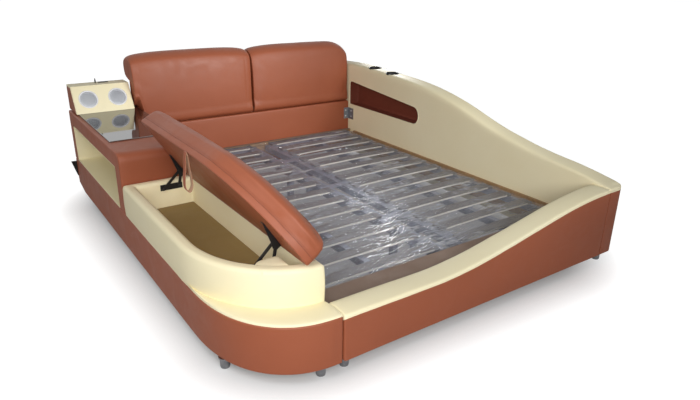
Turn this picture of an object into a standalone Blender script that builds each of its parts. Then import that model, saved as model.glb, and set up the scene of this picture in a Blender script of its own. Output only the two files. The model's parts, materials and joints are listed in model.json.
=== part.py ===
"""Upholstered double bed with a storage unit along its left side and a raised wing along its right side.

Metres, +Z up, the foot end towards -Y. The origin is at the bottom centre of the bed's box.
The lid of the storage box is modelled shut and then turned about its lift axis to where it rests open.
"""
import math

import bmesh
import bpy
from mathutils import Matrix, Vector

# Driving sizes
GAP = 0.0003
OVERRUN = 0.02
MATTRESS_WIDTH = 1.500
MATTRESS_LENGTH = 2.023
UNIT_WIDTH = 0.363
RAIL_DEPTH = 0.110
HEAD_DEPTH = 0.197
WING_THICK = 0.117
SPACER_REACH = 0.030
FOOT_HEIGHT = 0.045
BASE_HEIGHT = 0.230

# Places that follow from them
WIDTH = SPACER_REACH + UNIT_WIDTH + MATTRESS_WIDTH + WING_THICK
LENGTH = RAIL_DEPTH + MATTRESS_LENGTH + HEAD_DEPTH
X_SIDE = SPACER_REACH - WIDTH / 2
X_BED = X_SIDE + UNIT_WIDTH
X_WING = X_BED + MATTRESS_WIDTH
Y_FOOT = -LENGTH / 2
Y_BED = Y_FOOT + RAIL_DEPTH
Y_HEAD = Y_BED + MATTRESS_LENGTH
Y_BACK = LENGTH / 2

# Left unit: plinth and its ledge
SKIRT_THICK = 0.022
BOARD_THICK = 0.018
BOARD_CLEAR = 0.0015
PLINTH_CORNER = 0.460
PLINTH_POWER = 2.4
CORNER_STEPS = 14
REAR_BEVEL_RISE = 0.028
REAR_BEVEL_RUN = 0.130
LEDGE_THICK = 0.008
LEDGE_SETBACK = 0.003
LEDGE_LEAST = 0.004

# Storage box
BOX_RIM_Z = 0.3775
BOX_WALL = 0.052
BOX_FOOT_SETBACK = 0.115
BOX_CORNER = 0.430
BOX_POWER = 2.0
RIM_ROLL = 0.016
BOX_FLOOR_THICK = 0.019

# Cabinet with its side shelf
CABINET_LENGTH = 1.057
CABINET_FOOT = LENGTH - CABINET_LENGTH
CABINET_TOP_Z = 0.520
CABINET_ROLL = 0.040
CABINET_ROLL_STEPS = 6
SHELF_BACK_MARGIN = 0.068
SHELF_FOOT_MARGIN = 0.083
SHELF_LENGTH = CABINET_LENGTH - SHELF_FOOT_MARGIN - SHELF_BACK_MARGIN
SHELF_TOP_Z = 0.4435
SHELF_DEPTH = 0.320
LINER_WALL = 0.008
GLASS_THICK = 0.008
GLASS_LENGTH = 0.832
GLASS_SIDE_MARGIN = 0.020
GLASS_BED_MARGIN = 0.010
GLASS_BACK_MARGIN = 0.008

# Speaker box on the glass
SPEAKER_LEFT_MARGIN = 0.008
SPEAKER_BED_MARGIN = 0.034
SPEAKER_DEPTH = 0.185
SPEAKER_LEAN = 0.080
SPEAKER_HEIGHT = 0.143
SPEAKER_BACK_MARGIN = 0.010
FRONT_THICK = 0.012
TOP_THICK = 0.010
DRIVER_RADIUS = 0.045
RING_RADIUS = 0.0525
RING_THICK = 0.005
RING_PROFILE_SHARES = ((1.0, 0.4), (0.7, 1.0), (0.1, 0.7))
CONE_DEPTH = 0.009
CONE_PROFILE_SHARES = ((0.90, 0.0), (0.42, 1.0), (0.30, 0.55), (0.0, 0.25))
DRIVER_PLACE_SHARES = (0.25, 0.75)
DRIVER_SIDES = 28
DOCK_FROM_BED = 0.160
DOCK_FROM_BACK = 0.045
DOCK_PLATE_LENGTH = 0.060
DOCK_PLATE_WIDTH = 0.025
DOCK_PLATE_THICK = 0.0025
DOCK_PIN_AWAY = 0.043
DOCK_PIN_RADIUS = 0.004
DOCK_PIN_HEIGHT = 0.025
DOCK_PIN_TIP_SHARE = 0.9

# Lid, shut: it overhangs the box on the outside and stops short of the bed side
LID_OVERHANG = 0.010
LID_BED_SETBACK = 0.028
LID_FOOT_SETBACK = 0.110
LID_HEAD_CLEAR = 0.0107
LID_CORNER = 0.470
LID_SEAT_CLEAR = 0.0015
LID_BOARD_THICK = 0.013
LID_THICK = 0.120
LID_EDGE_ROUND = 0.012
LID_BULGE = 0.004
LID_CROWN = 0.026
LID_SHOULDER = 0.120
LID_SIDE_SHARES = ((-0.6, 0.12), (-1.0, 0.35), (-0.7, 0.58))
LID_TOP_SHARES = ((0.02, 0.76), (0.09, 0.90), (0.22, 0.98), (0.50, 1.0))
LID_OPEN_DEGREES = 57.0
LIFT_AXIS_INSET = 0.0452
LIFT_AXIS_RISE = 0.0375

# Lift linkage, in one plane at each end of the lid
PLATE_THICK = 0.0025
LAYER_GAP = 0.0004
ARM_WIDTH = 0.013
PIN_RADIUS = 0.003
PIN_CLEAR = 0.0003
PIN_PROUD = 0.001
LONG_REACH = 0.165
LONG_TIP_INSET = 0.085
LONG_TIP_DROP = 0.0195
SHORT_BASE_INSET = 0.115
SHORT_BASE_DROP = 0.0300
SHORT_TIP_REACH = 0.0625
BASE_PLATE_MARGIN = 0.012
BASE_PLATE_END = 0.015
BASE_PLATE_HEIGHT = 0.028
BLADE_INSET = 0.054
BLADE_DEEP = 0.0285
BLADE_TIP_INSET = 0.175
BLADE_TIP_DEEP = 0.004
BLADE_HEEL_INSET = 0.070
BLADE_HEEL_DEEP = 0.030
BLADE_KNEE_INSET = 0.095
BLADE_KNEE_DEEP = 0.022
FLANGE_WIDTH = 0.020
CLEAT_FACE = 0.272
CLEAT_DROP = 0.003
CAPSULE_STEPS = 7
SMALL_SIDES = 12

# Pull strap
STRAP_PLACE_SHARE = 0.5342
STRAP_LENGTH = 0.155
STRAP_WIDTH = 0.024
STRAP_THICK = 0.0022
STRAP_LOOP = 0.0052
STRAP_DROP = 0.003
STRAP_HEIGHT_SHARES = (0.12, 0.30, 0.55, 0.78, 0.92)
STRAP_OPEN_SHARES = (0.10, 0.45, 0.85, 1.0, 0.85)
STRAP_TOP_SHARE = 0.15
STRAP_FOOT_SHARES = (0.5, 0.985)

# Foot rail
RAIL_HIGH_Z = 0.379
RAIL_LEVEL_SHARE = 0.267
RAIL_CAP_THICK = 0.014
RAIL_CAP_SLAB = 0.022
RAIL_CAP_BOTTOM_Z = 0.100
RAIL_CAP_CROWN = 0.002
RAIL_EDGE = 0.006
RAIL_STATIONS = 18

# Wing
WING_FOOT_Z = 0.385
WING_HEAD_Z = 0.684
WING_CREST_SHARES = ((0.0, 0.0), (0.086, 0.11), (0.163, 0.177), (0.234, 0.254), (0.316, 0.381),
                     (0.421, 0.619), (0.472, 0.719), (0.551, 0.839), (0.645, 0.910), (0.751, 0.960),
                     (0.880, 1.0), (1.0, 0.96))
WING_INNER_DROP_FOOT = 0.008
WING_INNER_DROP_HEAD = 0.046
WING_DROP_START = 0.0
WING_DROP_END = 1.100
WING_OUTER_DROP = 0.030
WING_SLAB = 0.100
WING_TOP_LAYER = 0.055
WING_END_THICK = 0.022
WING_END_ROUND = 0.030
WING_END_DROP = 0.019
WING_INNER_SHARES = ((0.0, 1.35), (0.03, 0.62), (0.09, 0.24), (0.18, 0.07), (0.34, 0.0))
WING_OUTER_SHARES = ((0.74, 0.0), (0.88, 0.12), (0.965, 0.42), (1.0, 1.0))
WING_STATIONS = 22
WING_END_STATION_SHARES = (0.0, 0.10, 0.35, 0.70)

# Pocket and cup holders in the wing
POCKET_LENGTH = 0.758
POCKET_BACK_MARGIN = 0.212
POCKET_BOTTOM_Z = 0.391
POCKET_HEAD_Z = 0.562
POCKET_FOOT_Z = 0.505
POCKET_DEPTH = 0.075
POCKET_FOOT_ROUND = 0.052
POCKET_HEAD_ROUND = 0.016
POCKET_WALL = 0.003
POCKET_ARC_STEPS = 5
CUP_BACK_MARGINS = (0.630, 0.440)
CUP_INSET = 0.053
CUP_RADIUS = 0.0425
CUP_WALL = 0.0025
CUP_DEPTH = 0.098
CUP_SINK = 0.005
CUP_SIDES = 28
CUP_TAPER_SHARE = 0.90

# Headboard
BAND_THICK = 0.030
BAND_TOP_Z = 0.4135
BAND_BOTTOM_Z = 0.100
BAND_EDGE = 0.006
CORE_DEPTH = 0.1647
BACK_BOARD_THICK = 0.025
BACK_BOARD_LOW_Z = 0.060
BACK_BOARD_RISE_SHARE = 0.589
HEADREST_REACH = 0.030
HEADREST_SEAM = 0.7335
HEADREST_SEAM_GAP = 0.005
HEADREST_END_CLEAR = 0.0055
HEADREST_TOP_Z = 0.832
HEADREST_BOTTOM_ROUND = 0.030
HEADREST_CROWN = 0.016
HEADREST_SHARES = ((-0.020, 0.20), (-0.022, 0.42), (0.005, 0.62), (0.030, 0.72), (0.058, 0.790),
                   (0.072, 0.800), (0.066, 0.815), (0.086, 0.868), (0.178, 0.940), (0.340, 0.990),
                   (0.520, 1.0), (0.645, 0.988), (0.848, 0.947), (0.959, 0.892), (0.985, 0.808),
                   (0.949, 0.724), (0.848, 0.683), (0.746, 0.671), (0.518, 0.664), (0.426, 0.640),
                   (0.416, 0.327), (0.416, 0.0))
HEADREST_STATION_SHARES = (0.0, 0.012, 0.035, 0.062, 0.10, 0.20, 0.36, 0.50, 0.64, 0.80, 0.90, 0.95,
                           0.985, 1.0)
HEADREST_DRAW_SHARES = (1.0, 0.55, 0.30, 0.20, 0.12, 0.05, 0.0, 0.0, 0.0, 0.05, 0.12, 0.22, 0.55, 1.0)
HEADREST_LIFT_TABLE = ((0.030, 0.196), (0.020, 0.168), (0.0, 0.162))
HEADREST_LIFT_RUN = 0.070
HEADREST_LIFT_SHARE = 0.64
ROD_RADIUS = 0.005
ROD_INSET = 0.040
TONGUE_THICK = 0.004
TONGUE_RADIUS = 0.012
TONGUE_SINK = 0.040
TONGUE_WIDTH = 0.030
TONGUE_SETBACK = 0.003
TONGUE_TURN_DEGREES = 250

# Slat base
SLAT_TOP_Z = 0.198
SLAT_THICK = 0.011
SLAT_WIDTH = 0.062
SLAT_COUNT = 14
SLAT_FOOT_MARGIN = 0.151
SLAT_HEAD_MARGIN = 0.0173
SLAT_PITCH = (MATTRESS_LENGTH - SLAT_FOOT_MARGIN - SLAT_HEAD_MARGIN - SLAT_WIDTH) / (SLAT_COUNT - 1)
SLAT_LEFT_END = 0.679
SLAT_RIGHT_END = 0.827
SLAT_SIDE_MARGIN = 0.040
HOLDER_WIDTH = 0.014
HOLDER_THICK = 0.002
BEARER_LIP_Z = 0.206
BEARER_STEP_Z = 0.187
BEARER_SHELF_Z = 0.150
BEARER_BOTTOM_Z = 0.110
BEARER_LIP = 0.016
BEARER_STEP = 0.030
BEARER_SHELF = 0.058
FOOT_LEDGE_DEPTH = 0.111
FOOT_LEDGE_DROP = 0.0005
BEARER_NOTCH_FROM_HEAD = 0.030
BEARER_NOTCH_LENGTH = 0.055
TUBE_SIDE = 0.025
TUBE_CLEAR = 0.002
CENTRE_RAIL_WIDTH = 0.060
CENTRE_RAIL_PAST_LEFT = 0.036
CENTRE_RAIL_PAST_RIGHT = 0.037
MID_RAIL_WIDTH = 0.030
CROSS_PLATE_LENGTH = 0.050
CROSS_PLATE_THICK = 0.003
CROSS_PLATE_PLACE_SHARES = (0.0858, 0.2790, 0.4979, 0.7253)
LEG_SIDE = 0.030
LEG_PLACE_SHARES = (0.2403, 0.6695)
FILM_THICK = 0.0006
FILM_SIDE_MARGIN = 0.040
FILM_FOOT_MARGIN = 0.050
FILM_HEAD_MARGIN = 0.033

# Fittings
BRACKET_LEAF = 0.042
BRACKET_LONG_LEAF = 0.064
BRACKET_HEIGHT = 0.081
BRACKET_THICK = 0.003
BRACKET_LOW_Z = 0.283
SCREW_RADIUS = 0.0045
SCREW_HEIGHT = 0.0018
SCREW_PLACE_SHARES = (0.24, 0.76)
SCREW_ALONG_SHARE = 0.62
FOOT_RADIUS = 0.0185
FOOT_PAD_RADIUS = 0.0225
FOOT_PAD_THICK = 0.006
FOOT_SIDES = 20
FOOT_EDGE_SHARE = 0.4
UNIT_FOOT_ALONG = 0.038
UNIT_FOOT_IN = 0.068
CORNER_FOOT_ALONG = 0.263
RAIL_FOOT_IN = 0.030
FRAME_FOOT_ALONG = 0.040
REAR_FOOT_FROM_BACK = 0.200
WING_FOOT_IN = 0.040
WING_REAR_FROM_BACK = 0.080
SPACER_TOP_Z = 0.210
SPACER_HEIGHT = 0.090
SPACER_THICK = 0.012
SPACER_TIP_SHARE = 0.15

# Colours, linear
BROWN = (0.360, 0.115, 0.070)
BROWN_DARK = (0.160, 0.048, 0.030)
CREAM = (0.850, 0.740, 0.480)
TAN = (0.420, 0.260, 0.130)
PLY = (0.520, 0.330, 0.170)
PALE_WOOD = (0.640, 0.540, 0.430)
STEEL_BLUE = (0.190, 0.200, 0.240)
STEEL_GREY = (0.330, 0.340, 0.350)
BLACK = (0.012, 0.012, 0.013)
SILVER = (0.620, 0.630, 0.650)
GREY = (0.300, 0.300, 0.300)
FILM_WHITE = (0.800, 0.820, 0.860)


def clear_scene():
    """Remove what the open file holds."""
    for old in list(bpy.data.objects):
        bpy.data.objects.remove(old, do_unlink=True)


def material(name, colour, roughness, metallic=0.0, alpha=1.0):
    """One Principled material for one finish."""
    made = bpy.data.materials.get(name)
    if made:
        return made
    made = bpy.data.materials.new(name)
    made.use_nodes = True
    shader = made.node_tree.nodes["Principled BSDF"]
    shader.inputs["Base Color"].default_value = (*colour, 1.0)
    shader.inputs["Roughness"].default_value = roughness
    shader.inputs["Metallic"].default_value = metallic
    shader.inputs["Alpha"].default_value = alpha
    return made


def brown_leather():
    return material("brown_leather", BROWN, 0.42)


def dark_leather():
    return material("dark_brown_leather", BROWN_DARK, 0.50)


def cream_leather():
    return material("cream_leather", CREAM, 0.45)


def plywood():
    return material("plywood", PLY, 0.60)


def painted_steel():
    return material("painted_steel", STEEL_BLUE, 0.40, 0.6)


def black_steel():
    return material("black_steel", BLACK, 0.45, 0.5)


def black_plastic():
    return material("black_plastic", BLACK, 0.40)


def add_object(name, shape, finish, parent=None, origin=None, smooth=False):
    """Turn a bmesh into a named object whose faces point outwards; origin becomes the object's own origin."""
    bmesh.ops.recalc_face_normals(shape, faces=shape.faces)
    if origin is not None:
        bmesh.ops.translate(shape, verts=shape.verts, vec=-Vector(origin))
    mesh = bpy.data.meshes.new(name)
    shape.to_mesh(mesh)
    shape.free()
    if smooth:
        mesh.shade_smooth()
        mesh.set_sharp_from_angle(angle=math.radians(35))
    mesh.materials.append(finish)
    made = bpy.data.objects.new(name, mesh)
    bpy.context.scene.collection.objects.link(made)
    if origin is not None:
        made.location = origin
    if parent is not None:
        made.parent = parent
    return made


def trim(target, name, shape, operation):
    """Add a Boolean modifier whose other operand stays in the scene as a guide."""
    bmesh.ops.recalc_face_normals(shape, faces=shape.faces)
    mesh = bpy.data.meshes.new(name)
    shape.to_mesh(mesh)
    shape.free()
    guide = bpy.data.objects.new(name, mesh)
    guide.hide_render = True
    guide.display_type = "WIRE"
    guide.parent = target.parent
    bpy.context.scene.collection.objects.link(guide)
    step = target.modifiers.new(name, "BOOLEAN")
    step.operation = operation
    step.solver = "EXACT"
    step.object = guide


def cut(target, name, shape):
    """Take a closed shape away from an object."""
    trim(target, name, shape, "DIFFERENCE")


def join(target, name, shape):
    """Fuse a closed shape onto an object."""
    trim(target, name, shape, "UNION")


def bevel(target, width, segments=2, degrees=40):
    """Round an object's sharper edges."""
    rounding = target.modifiers.new("edge_rounding", "BEVEL")
    rounding.width = width
    rounding.segments = segments
    rounding.limit_method = "ANGLE"
    rounding.angle_limit = math.radians(degrees)


def add_loft(shape, loops, closed_path=False):
    """Skin a row of loops, each with as many points; a closed path joins the last loop to the first."""
    rows = [[shape.verts.new(point) for point in loop] for loop in loops]
    pairs = list(zip(rows[:-1], rows[1:]))
    if closed_path:
        pairs.append((rows[-1], rows[0]))
    for low, high in pairs:
        count = len(low)
        for here in range(count):
            after = (here + 1) % count
            shape.faces.new((low[here], low[after], high[after], high[here]))
    if not closed_path:
        shape.faces.new(list(reversed(rows[0])))
        shape.faces.new(rows[-1])


def add_box(shape, low, high):
    """One box between two corners."""
    (x0, y0, z0), (x1, y1, z1) = low, high
    ground = [(x0, y0), (x1, y0), (x1, y1), (x0, y1)]
    add_loft(shape, [[(x, y, z) for x, y in ground] for z in (z0, z1)])


def boxes(corners):
    """A shape of several boxes that lie apart."""
    shape = bmesh.new()
    for low, high in corners:
        add_box(shape, low, high)
    return shape


def box_object(name, low, high, finish, **extra):
    return add_object(name, boxes([(low, high)]), finish, **extra)


def plan_loops(outline, heights):
    return [[(x, y, z) for x, y in outline] for z in heights]


def plan_prism(name, outline, low, high, finish, **extra):
    """Extrude a plan outline (x, y) upwards."""
    shape = bmesh.new()
    add_loft(shape, plan_loops(outline, (low, high)))
    return add_object(name, shape, finish, **extra)


def add_side_prism(shape, outline, low, high):
    """Extrude a side outline (y, z) along X."""
    add_loft(shape, [[(x, y, z) for y, z in outline] for x in (low, high)])


def side_prism(name, outline, low, high, finish, **extra):
    shape = bmesh.new()
    add_side_prism(shape, outline, low, high)
    return add_object(name, shape, finish, **extra)


def add_front_prism(shape, outline, low, high):
    """Extrude a front outline (x, z) along Y."""
    add_loft(shape, [[(x, y, z) for x, z in outline] for y in (low, high)])


def add_turned(shape, profile, sides, centre=(0.0, 0.0, 0.0)):
    """Turn a profile of (radius, height) about an upright line; it starts and ends on that line."""
    cx, cy, cz = centre
    rows = []
    for radius, height in profile:
        ring = []
        for step in range(1 if radius == 0 else sides):
            turn = 2 * math.pi * step / sides
            across, along = radius * math.cos(turn), radius * math.sin(turn)
            ring.append(shape.verts.new((cx + across, cy + along, cz + height)))
        rows.append(ring)
    for low, high in zip(rows[:-1], rows[1:]):
        for here in range(sides):
            after = (here + 1) % sides
            if len(low) == 1:
                shape.faces.new((low[0], high[after], high[here]))
            elif len(high) == 1:
                shape.faces.new((low[here], low[after], high[0]))
            else:
                shape.faces.new((low[here], low[after], high[after], high[here]))


def add_bar(shape, radius, sides, start, end):
    """A straight round bar between two points."""
    start, end = Vector(start), Vector(end)
    turn = Vector((0, 0, 1)).rotation_difference(end - start).to_matrix()
    length = (end - start).length
    rings = []
    for height in (0, length):
        ring = []
        for step in range(sides):
            angle = 2 * math.pi * step / sides
            ring.append(start + turn @ Vector((radius * math.cos(angle), radius * math.sin(angle), height)))
        rings.append(ring)
    add_loft(shape, rings)


def arc_points(centre, radius, start, end, steps):
    """Points on an arc from start to end, in degrees."""
    points = []
    for step in range(steps + 1):
        turn = math.radians(start + (end - start) * step / steps)
        points.append((centre[0] + radius * math.cos(turn), centre[1] + radius * math.sin(turn)))
    return points


def capsule(start, end, radius, steps=CAPSULE_STEPS):
    """Outline with round ends about two points."""
    heading = math.degrees(math.atan2(end[1] - start[1], end[0] - start[0]))
    near = arc_points(start, radius, heading + 90, heading + 270, steps)
    far = arc_points(end, radius, heading - 90, heading + 90, steps)
    return near + far


def smooth_step(value):
    value = min(1.0, max(0.0, value))
    return value * value * (3 - 2 * value)


def corner_outline(left, foot, right, head, corner, power, inset=0.0, open_end=False):
    """Plan outline, square but for one large foot-left corner, drawn in by inset.

    It starts at the bed side of the foot end. The corner is a quarter of a superellipse centred
    above the foot end's bed side. With open_end, the bed side itself isn't drawn in.
    """
    half_x, half_y = right - left - inset, corner - inset
    side_inset = 0.0 if open_end else max(0.0, inset)
    first = math.asin((side_inset / half_x) ** (power / 2))
    points = []
    for step in range(CORNER_STEPS + 1):
        turn = first + (math.pi / 2 - first) * step / CORNER_STEPS
        along = max(0.0, math.sin(turn)) ** (2 / power)
        across = max(0.0, math.cos(turn)) ** (2 / power)
        points.append((right - half_x * along, foot + corner - half_y * across))
    points.append((left + inset, head - inset))
    points.append((right - side_inset, head - inset))
    return points


def plinth_outline(inset=0.0, head=Y_BACK, open_end=False):
    return corner_outline(X_SIDE, Y_FOOT, X_BED, head, PLINTH_CORNER, PLINTH_POWER, inset, open_end)


def storage_outline(inset=0.0, open_end=False):
    """Outline of the storage box; a positive inset gives its inner faces."""
    head = Y_FOOT + CABINET_FOOT - GAP
    foot = Y_FOOT + BOX_FOOT_SETBACK
    return corner_outline(X_SIDE, foot, X_BED, head, BOX_CORNER, BOX_POWER, inset, open_end)


def lid_outline(inset=0.0, bed_inset=0.0):
    """Outline of the shut lid; bed_inset draws in its bed side alone."""
    foot, head = Y_FOOT + LID_FOOT_SETBACK, Y_FOOT + CABINET_FOOT - LID_HEAD_CLEAR
    return corner_outline(X_SIDE - LID_OVERHANG, foot, X_BED - LID_BED_SETBACK - bed_inset, head,
                          LID_CORNER, BOX_POWER, inset)


def build_plinth():
    """Base of the left unit: skirts round it, a board below and a deck above."""
    corner = CORNER_STEPS + 1
    outer = plinth_outline(open_end=True)[:corner]
    inner = plinth_outline(SKIRT_THICK, open_end=True)[:corner]
    ring = outer + list(reversed(inner))
    plan_prism("plinth_corner_panel", ring, FOOT_HEIGHT, BASE_HEIGHT, brown_leather(), smooth=True)
    start = Y_FOOT + PLINTH_CORNER + GAP
    bevel_z = FOOT_HEIGHT + REAR_BEVEL_RISE
    side = [(start, FOOT_HEIGHT), (Y_BACK - REAR_BEVEL_RUN, FOOT_HEIGHT), (Y_BACK, bevel_z),
            (Y_BACK, BASE_HEIGHT), (start, BASE_HEIGHT)]
    side_prism("plinth_side_panel", side, X_SIDE, X_SIDE + SKIRT_THICK, brown_leather())
    box_object("plinth_inner_panel", (X_BED - SKIRT_THICK, Y_FOOT + SKIRT_THICK + BOARD_CLEAR, FOOT_HEIGHT),
               (X_BED, Y_BACK - SKIRT_THICK - GAP, BASE_HEIGHT), plywood())
    box_object("plinth_rear_panel", (X_SIDE + SKIRT_THICK + GAP, Y_BACK - SKIRT_THICK, bevel_z),
               (X_BED, Y_BACK, BASE_HEIGHT), brown_leather())
    inset = SKIRT_THICK + BOARD_CLEAR
    board = plinth_outline(inset, Y_BACK - REAR_BEVEL_RUN)
    plan_prism("plinth_bottom_board", board, FOOT_HEIGHT, FOOT_HEIGHT + BOARD_THICK, plywood())
    deck = plinth_outline(inset)
    plan_prism("plinth_deck", deck, BASE_HEIGHT - BOARD_THICK, BASE_HEIGHT, plywood())


def build_ledge():
    """Crescent of padded ledge between the plinth's edge and the storage box."""
    outer = plinth_outline(LEDGE_SETBACK, open_end=True)[:CORNER_STEPS + 1]
    inner = storage_outline(-GAP)[:CORNER_STEPS + 1]
    kept = [pair for pair in zip(outer, inner) if math.dist(*pair) > LEDGE_LEAST]
    ring = [pair[0] for pair in kept] + [pair[1] for pair in reversed(kept)]
    plan_prism("ledge_pad", ring, BASE_HEIGHT + GAP, BASE_HEIGHT + LEDGE_THICK, cream_leather())


def build_storage_box():
    """Padded walls with a rolled rim round an open box, and the board that is its floor."""
    low, high = BASE_HEIGHT + GAP, BOX_RIM_Z
    half = RIM_ROLL * (1 - math.sqrt(0.5))
    section = [(0.0, low), (0.0, high - RIM_ROLL), (half, high - half), (RIM_ROLL, high),
               (BOX_WALL - RIM_ROLL, high), (BOX_WALL - half, high - half),
               (BOX_WALL, high - RIM_ROLL), (BOX_WALL, low)]
    loops = []
    for inset, z in section:
        loops += plan_loops(storage_outline(inset), (z,))
    shape = bmesh.new()
    add_loft(shape, loops, closed_path=True)
    add_object("storage_box", shape, cream_leather(), smooth=True)
    plan_prism("storage_floor", storage_outline(BOX_WALL + GAP), low, low + BOX_FLOOR_THICK,
               material("floor_board", TAN, 0.6))


def build_cabinet():
    """Padded cabinet at the head of the unit, with a lined shelf open to the left and a glass top."""
    foot, top, low = Y_FOOT + CABINET_FOOT, CABINET_TOP_Z, BASE_HEIGHT + GAP
    front = arc_points((foot + CABINET_ROLL, top - CABINET_ROLL), CABINET_ROLL, 180, 90, CABINET_ROLL_STEPS)
    outline = [(foot, low)] + front + [(Y_BACK, top), (Y_BACK, low)]
    body = side_prism("cabinet_body", outline, X_SIDE, X_BED, brown_leather(), smooth=True)
    shelf_head = Y_BACK - SHELF_BACK_MARGIN
    shelf_foot = shelf_head - SHELF_LENGTH
    depth = X_SIDE + SHELF_DEPTH
    cavity = boxes([((X_SIDE - OVERRUN, shelf_foot, low - OVERRUN), (depth, shelf_head, SHELF_TOP_Z))])
    cut(body, "shelf_cavity", cavity)
    liner = box_object("shelf_liner", (X_SIDE, shelf_foot + GAP, low),
                       (depth - GAP, shelf_head - GAP, SHELF_TOP_Z - GAP), cream_leather())
    wall = GAP + LINER_WALL
    cut(liner, "liner_hollow", boxes([((X_SIDE - OVERRUN, shelf_foot + wall, low + LINER_WALL),
                                       (depth - wall, shelf_head - wall, SHELF_TOP_Z - wall))]))
    glass_head = Y_BACK - GLASS_BACK_MARGIN
    box_object("glass_top", (X_SIDE + GLASS_SIDE_MARGIN, glass_head - GLASS_LENGTH, top + GAP),
               (X_BED - GLASS_BED_MARGIN, glass_head, top + GAP + GLASS_THICK),
               material("dark_glass", BLACK, 0.06))


def build_speaker_box():
    """Low box with a leaning front and two round drivers."""
    left, right = X_SIDE + SPEAKER_LEFT_MARGIN, X_BED - SPEAKER_BED_MARGIN
    low = CABINET_TOP_Z + GLASS_THICK + 2 * GAP
    back = Y_BACK - SPEAKER_BACK_MARGIN
    foot = back - SPEAKER_DEPTH
    slant = math.atan2(SPEAKER_LEAN, SPEAKER_HEIGHT)
    depth = FRONT_THICK / math.cos(slant)
    high = low + SPEAKER_HEIGHT
    joint = high - TOP_THICK
    crest, crest_below = foot + SPEAKER_LEAN, foot + SPEAKER_LEAN * (joint - low) / SPEAKER_HEIGHT
    body = [(foot + depth + GAP, low), (crest_below + depth + GAP, joint), (back, joint), (back, low)]
    side_prism("speaker_body", body, left, right, brown_leather())
    front = [(foot, low), (foot + depth, low), (crest_below + depth, joint), (crest_below, joint)]
    face = side_prism("speaker_front", front, left, right, cream_leather())
    top = [(crest_below, joint + GAP), (crest, high), (back, high), (back, joint + GAP)]
    side_prism("speaker_top", top, left, right, material("grey_lid", GREY, 0.5))
    deep = -FRONT_THICK - OVERRUN
    hole = [(0, deep), (DRIVER_RADIUS, deep), (DRIVER_RADIUS, OVERRUN), (0, OVERRUN)]
    rim = DRIVER_RADIUS - GAP
    driver = [(0, -FRONT_THICK), (rim, -FRONT_THICK), (rim, GAP), (RING_RADIUS, GAP)]
    flare = RING_RADIUS - DRIVER_RADIUS
    driver += [(DRIVER_RADIUS + flare * a, RING_THICK * b) for a, b in RING_PROFILE_SHARES]
    driver += [(DRIVER_RADIUS * a, -CONE_DEPTH * b) for a, b in CONE_PROFILE_SHARES]
    for side, share in zip(("left", "right"), DRIVER_PLACE_SHARES):
        centre = Vector((left + (right - left) * share, foot + SPEAKER_LEAN / 2, low + SPEAKER_HEIGHT / 2))
        place = Matrix.Translation(centre) @ Matrix.Rotation(math.pi / 2 - slant, 4, "X")
        opening, shape = bmesh.new(), bmesh.new()
        add_turned(opening, hole, DRIVER_SIDES)
        add_turned(shape, driver, DRIVER_SIDES)
        for each in (opening, shape):
            bmesh.ops.transform(each, matrix=place, verts=each.verts)
        cut(face, "driver_hole_" + side, opening)
        add_object("speaker_driver_" + side, shape, material("silver_trim", SILVER, 0.3, 0.9), smooth=True)
    build_dock(high)


def build_dock(seat):
    """Oval docking plate and the upright connector beside it, on the speaker box."""
    x, y = X_BED - DOCK_FROM_BED, Y_BACK - DOCK_FROM_BACK
    reach = (DOCK_PLATE_LENGTH - DOCK_PLATE_WIDTH) / 2
    plate = capsule((x - reach, y), (x + reach, y), DOCK_PLATE_WIDTH / 2)
    plan_prism("dock_plate", plate, seat + GAP, seat + GAP + DOCK_PLATE_THICK,
               material("grey_plastic", GREY, 0.4))
    shape = bmesh.new()
    shoulder, tip = DOCK_PIN_HEIGHT * DOCK_PIN_TIP_SHARE, DOCK_PIN_RADIUS * DOCK_PIN_TIP_SHARE
    profile = [(0, 0), (DOCK_PIN_RADIUS, 0), (DOCK_PIN_RADIUS, shoulder), (tip, DOCK_PIN_HEIGHT),
               (0, DOCK_PIN_HEIGHT)]
    add_turned(shape, profile, SMALL_SIDES, (x - DOCK_PIN_AWAY, y, seat + GAP))
    add_object("dock_pin", shape, black_plastic(), smooth=True)


def lift_axis():
    """The line about which the lid turns, as (x, z)."""
    return (X_BED - LIFT_AXIS_INSET, BOX_RIM_Z + LIFT_AXIS_RISE)


def turned_about_lift(point, angle):
    """A point (x, z) of the shut lid after the lid has opened by angle."""
    ax, az = lift_axis()
    dx, dz = point[0] - ax, point[1] - az
    cosine, sine = math.cos(angle), math.sin(angle)
    return (ax + dx * cosine + dz * sine, az - dx * sine + dz * cosine)


def linkage():
    """Pivots of the four-bar lift: a base pivot is as far from its tip with the lid shut as with it open."""
    ax, az = lift_axis()
    opening = math.radians(LID_OPEN_DEGREES)
    long_shut = (X_BED - LONG_TIP_INSET, BOX_RIM_Z - LONG_TIP_DROP)
    middle = turned_about_lift(long_shut, opening / 2)
    away = Vector((middle[0] - ax, middle[1] - az)).normalized() * LONG_REACH
    short_base = (X_BED - SHORT_BASE_INSET, BOX_RIM_Z - SHORT_BASE_DROP)
    toward = Vector((short_base[0] - ax, short_base[1] - az)).normalized() * SHORT_TIP_REACH
    short_shut = turned_about_lift((ax + toward.x, az + toward.y), -opening / 2)
    return {"long_base": (ax + away.x, az + away.y), "long_open": turned_about_lift(long_shut, opening),
            "short_base": short_base, "short_open": turned_about_lift(short_shut, opening)}


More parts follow.
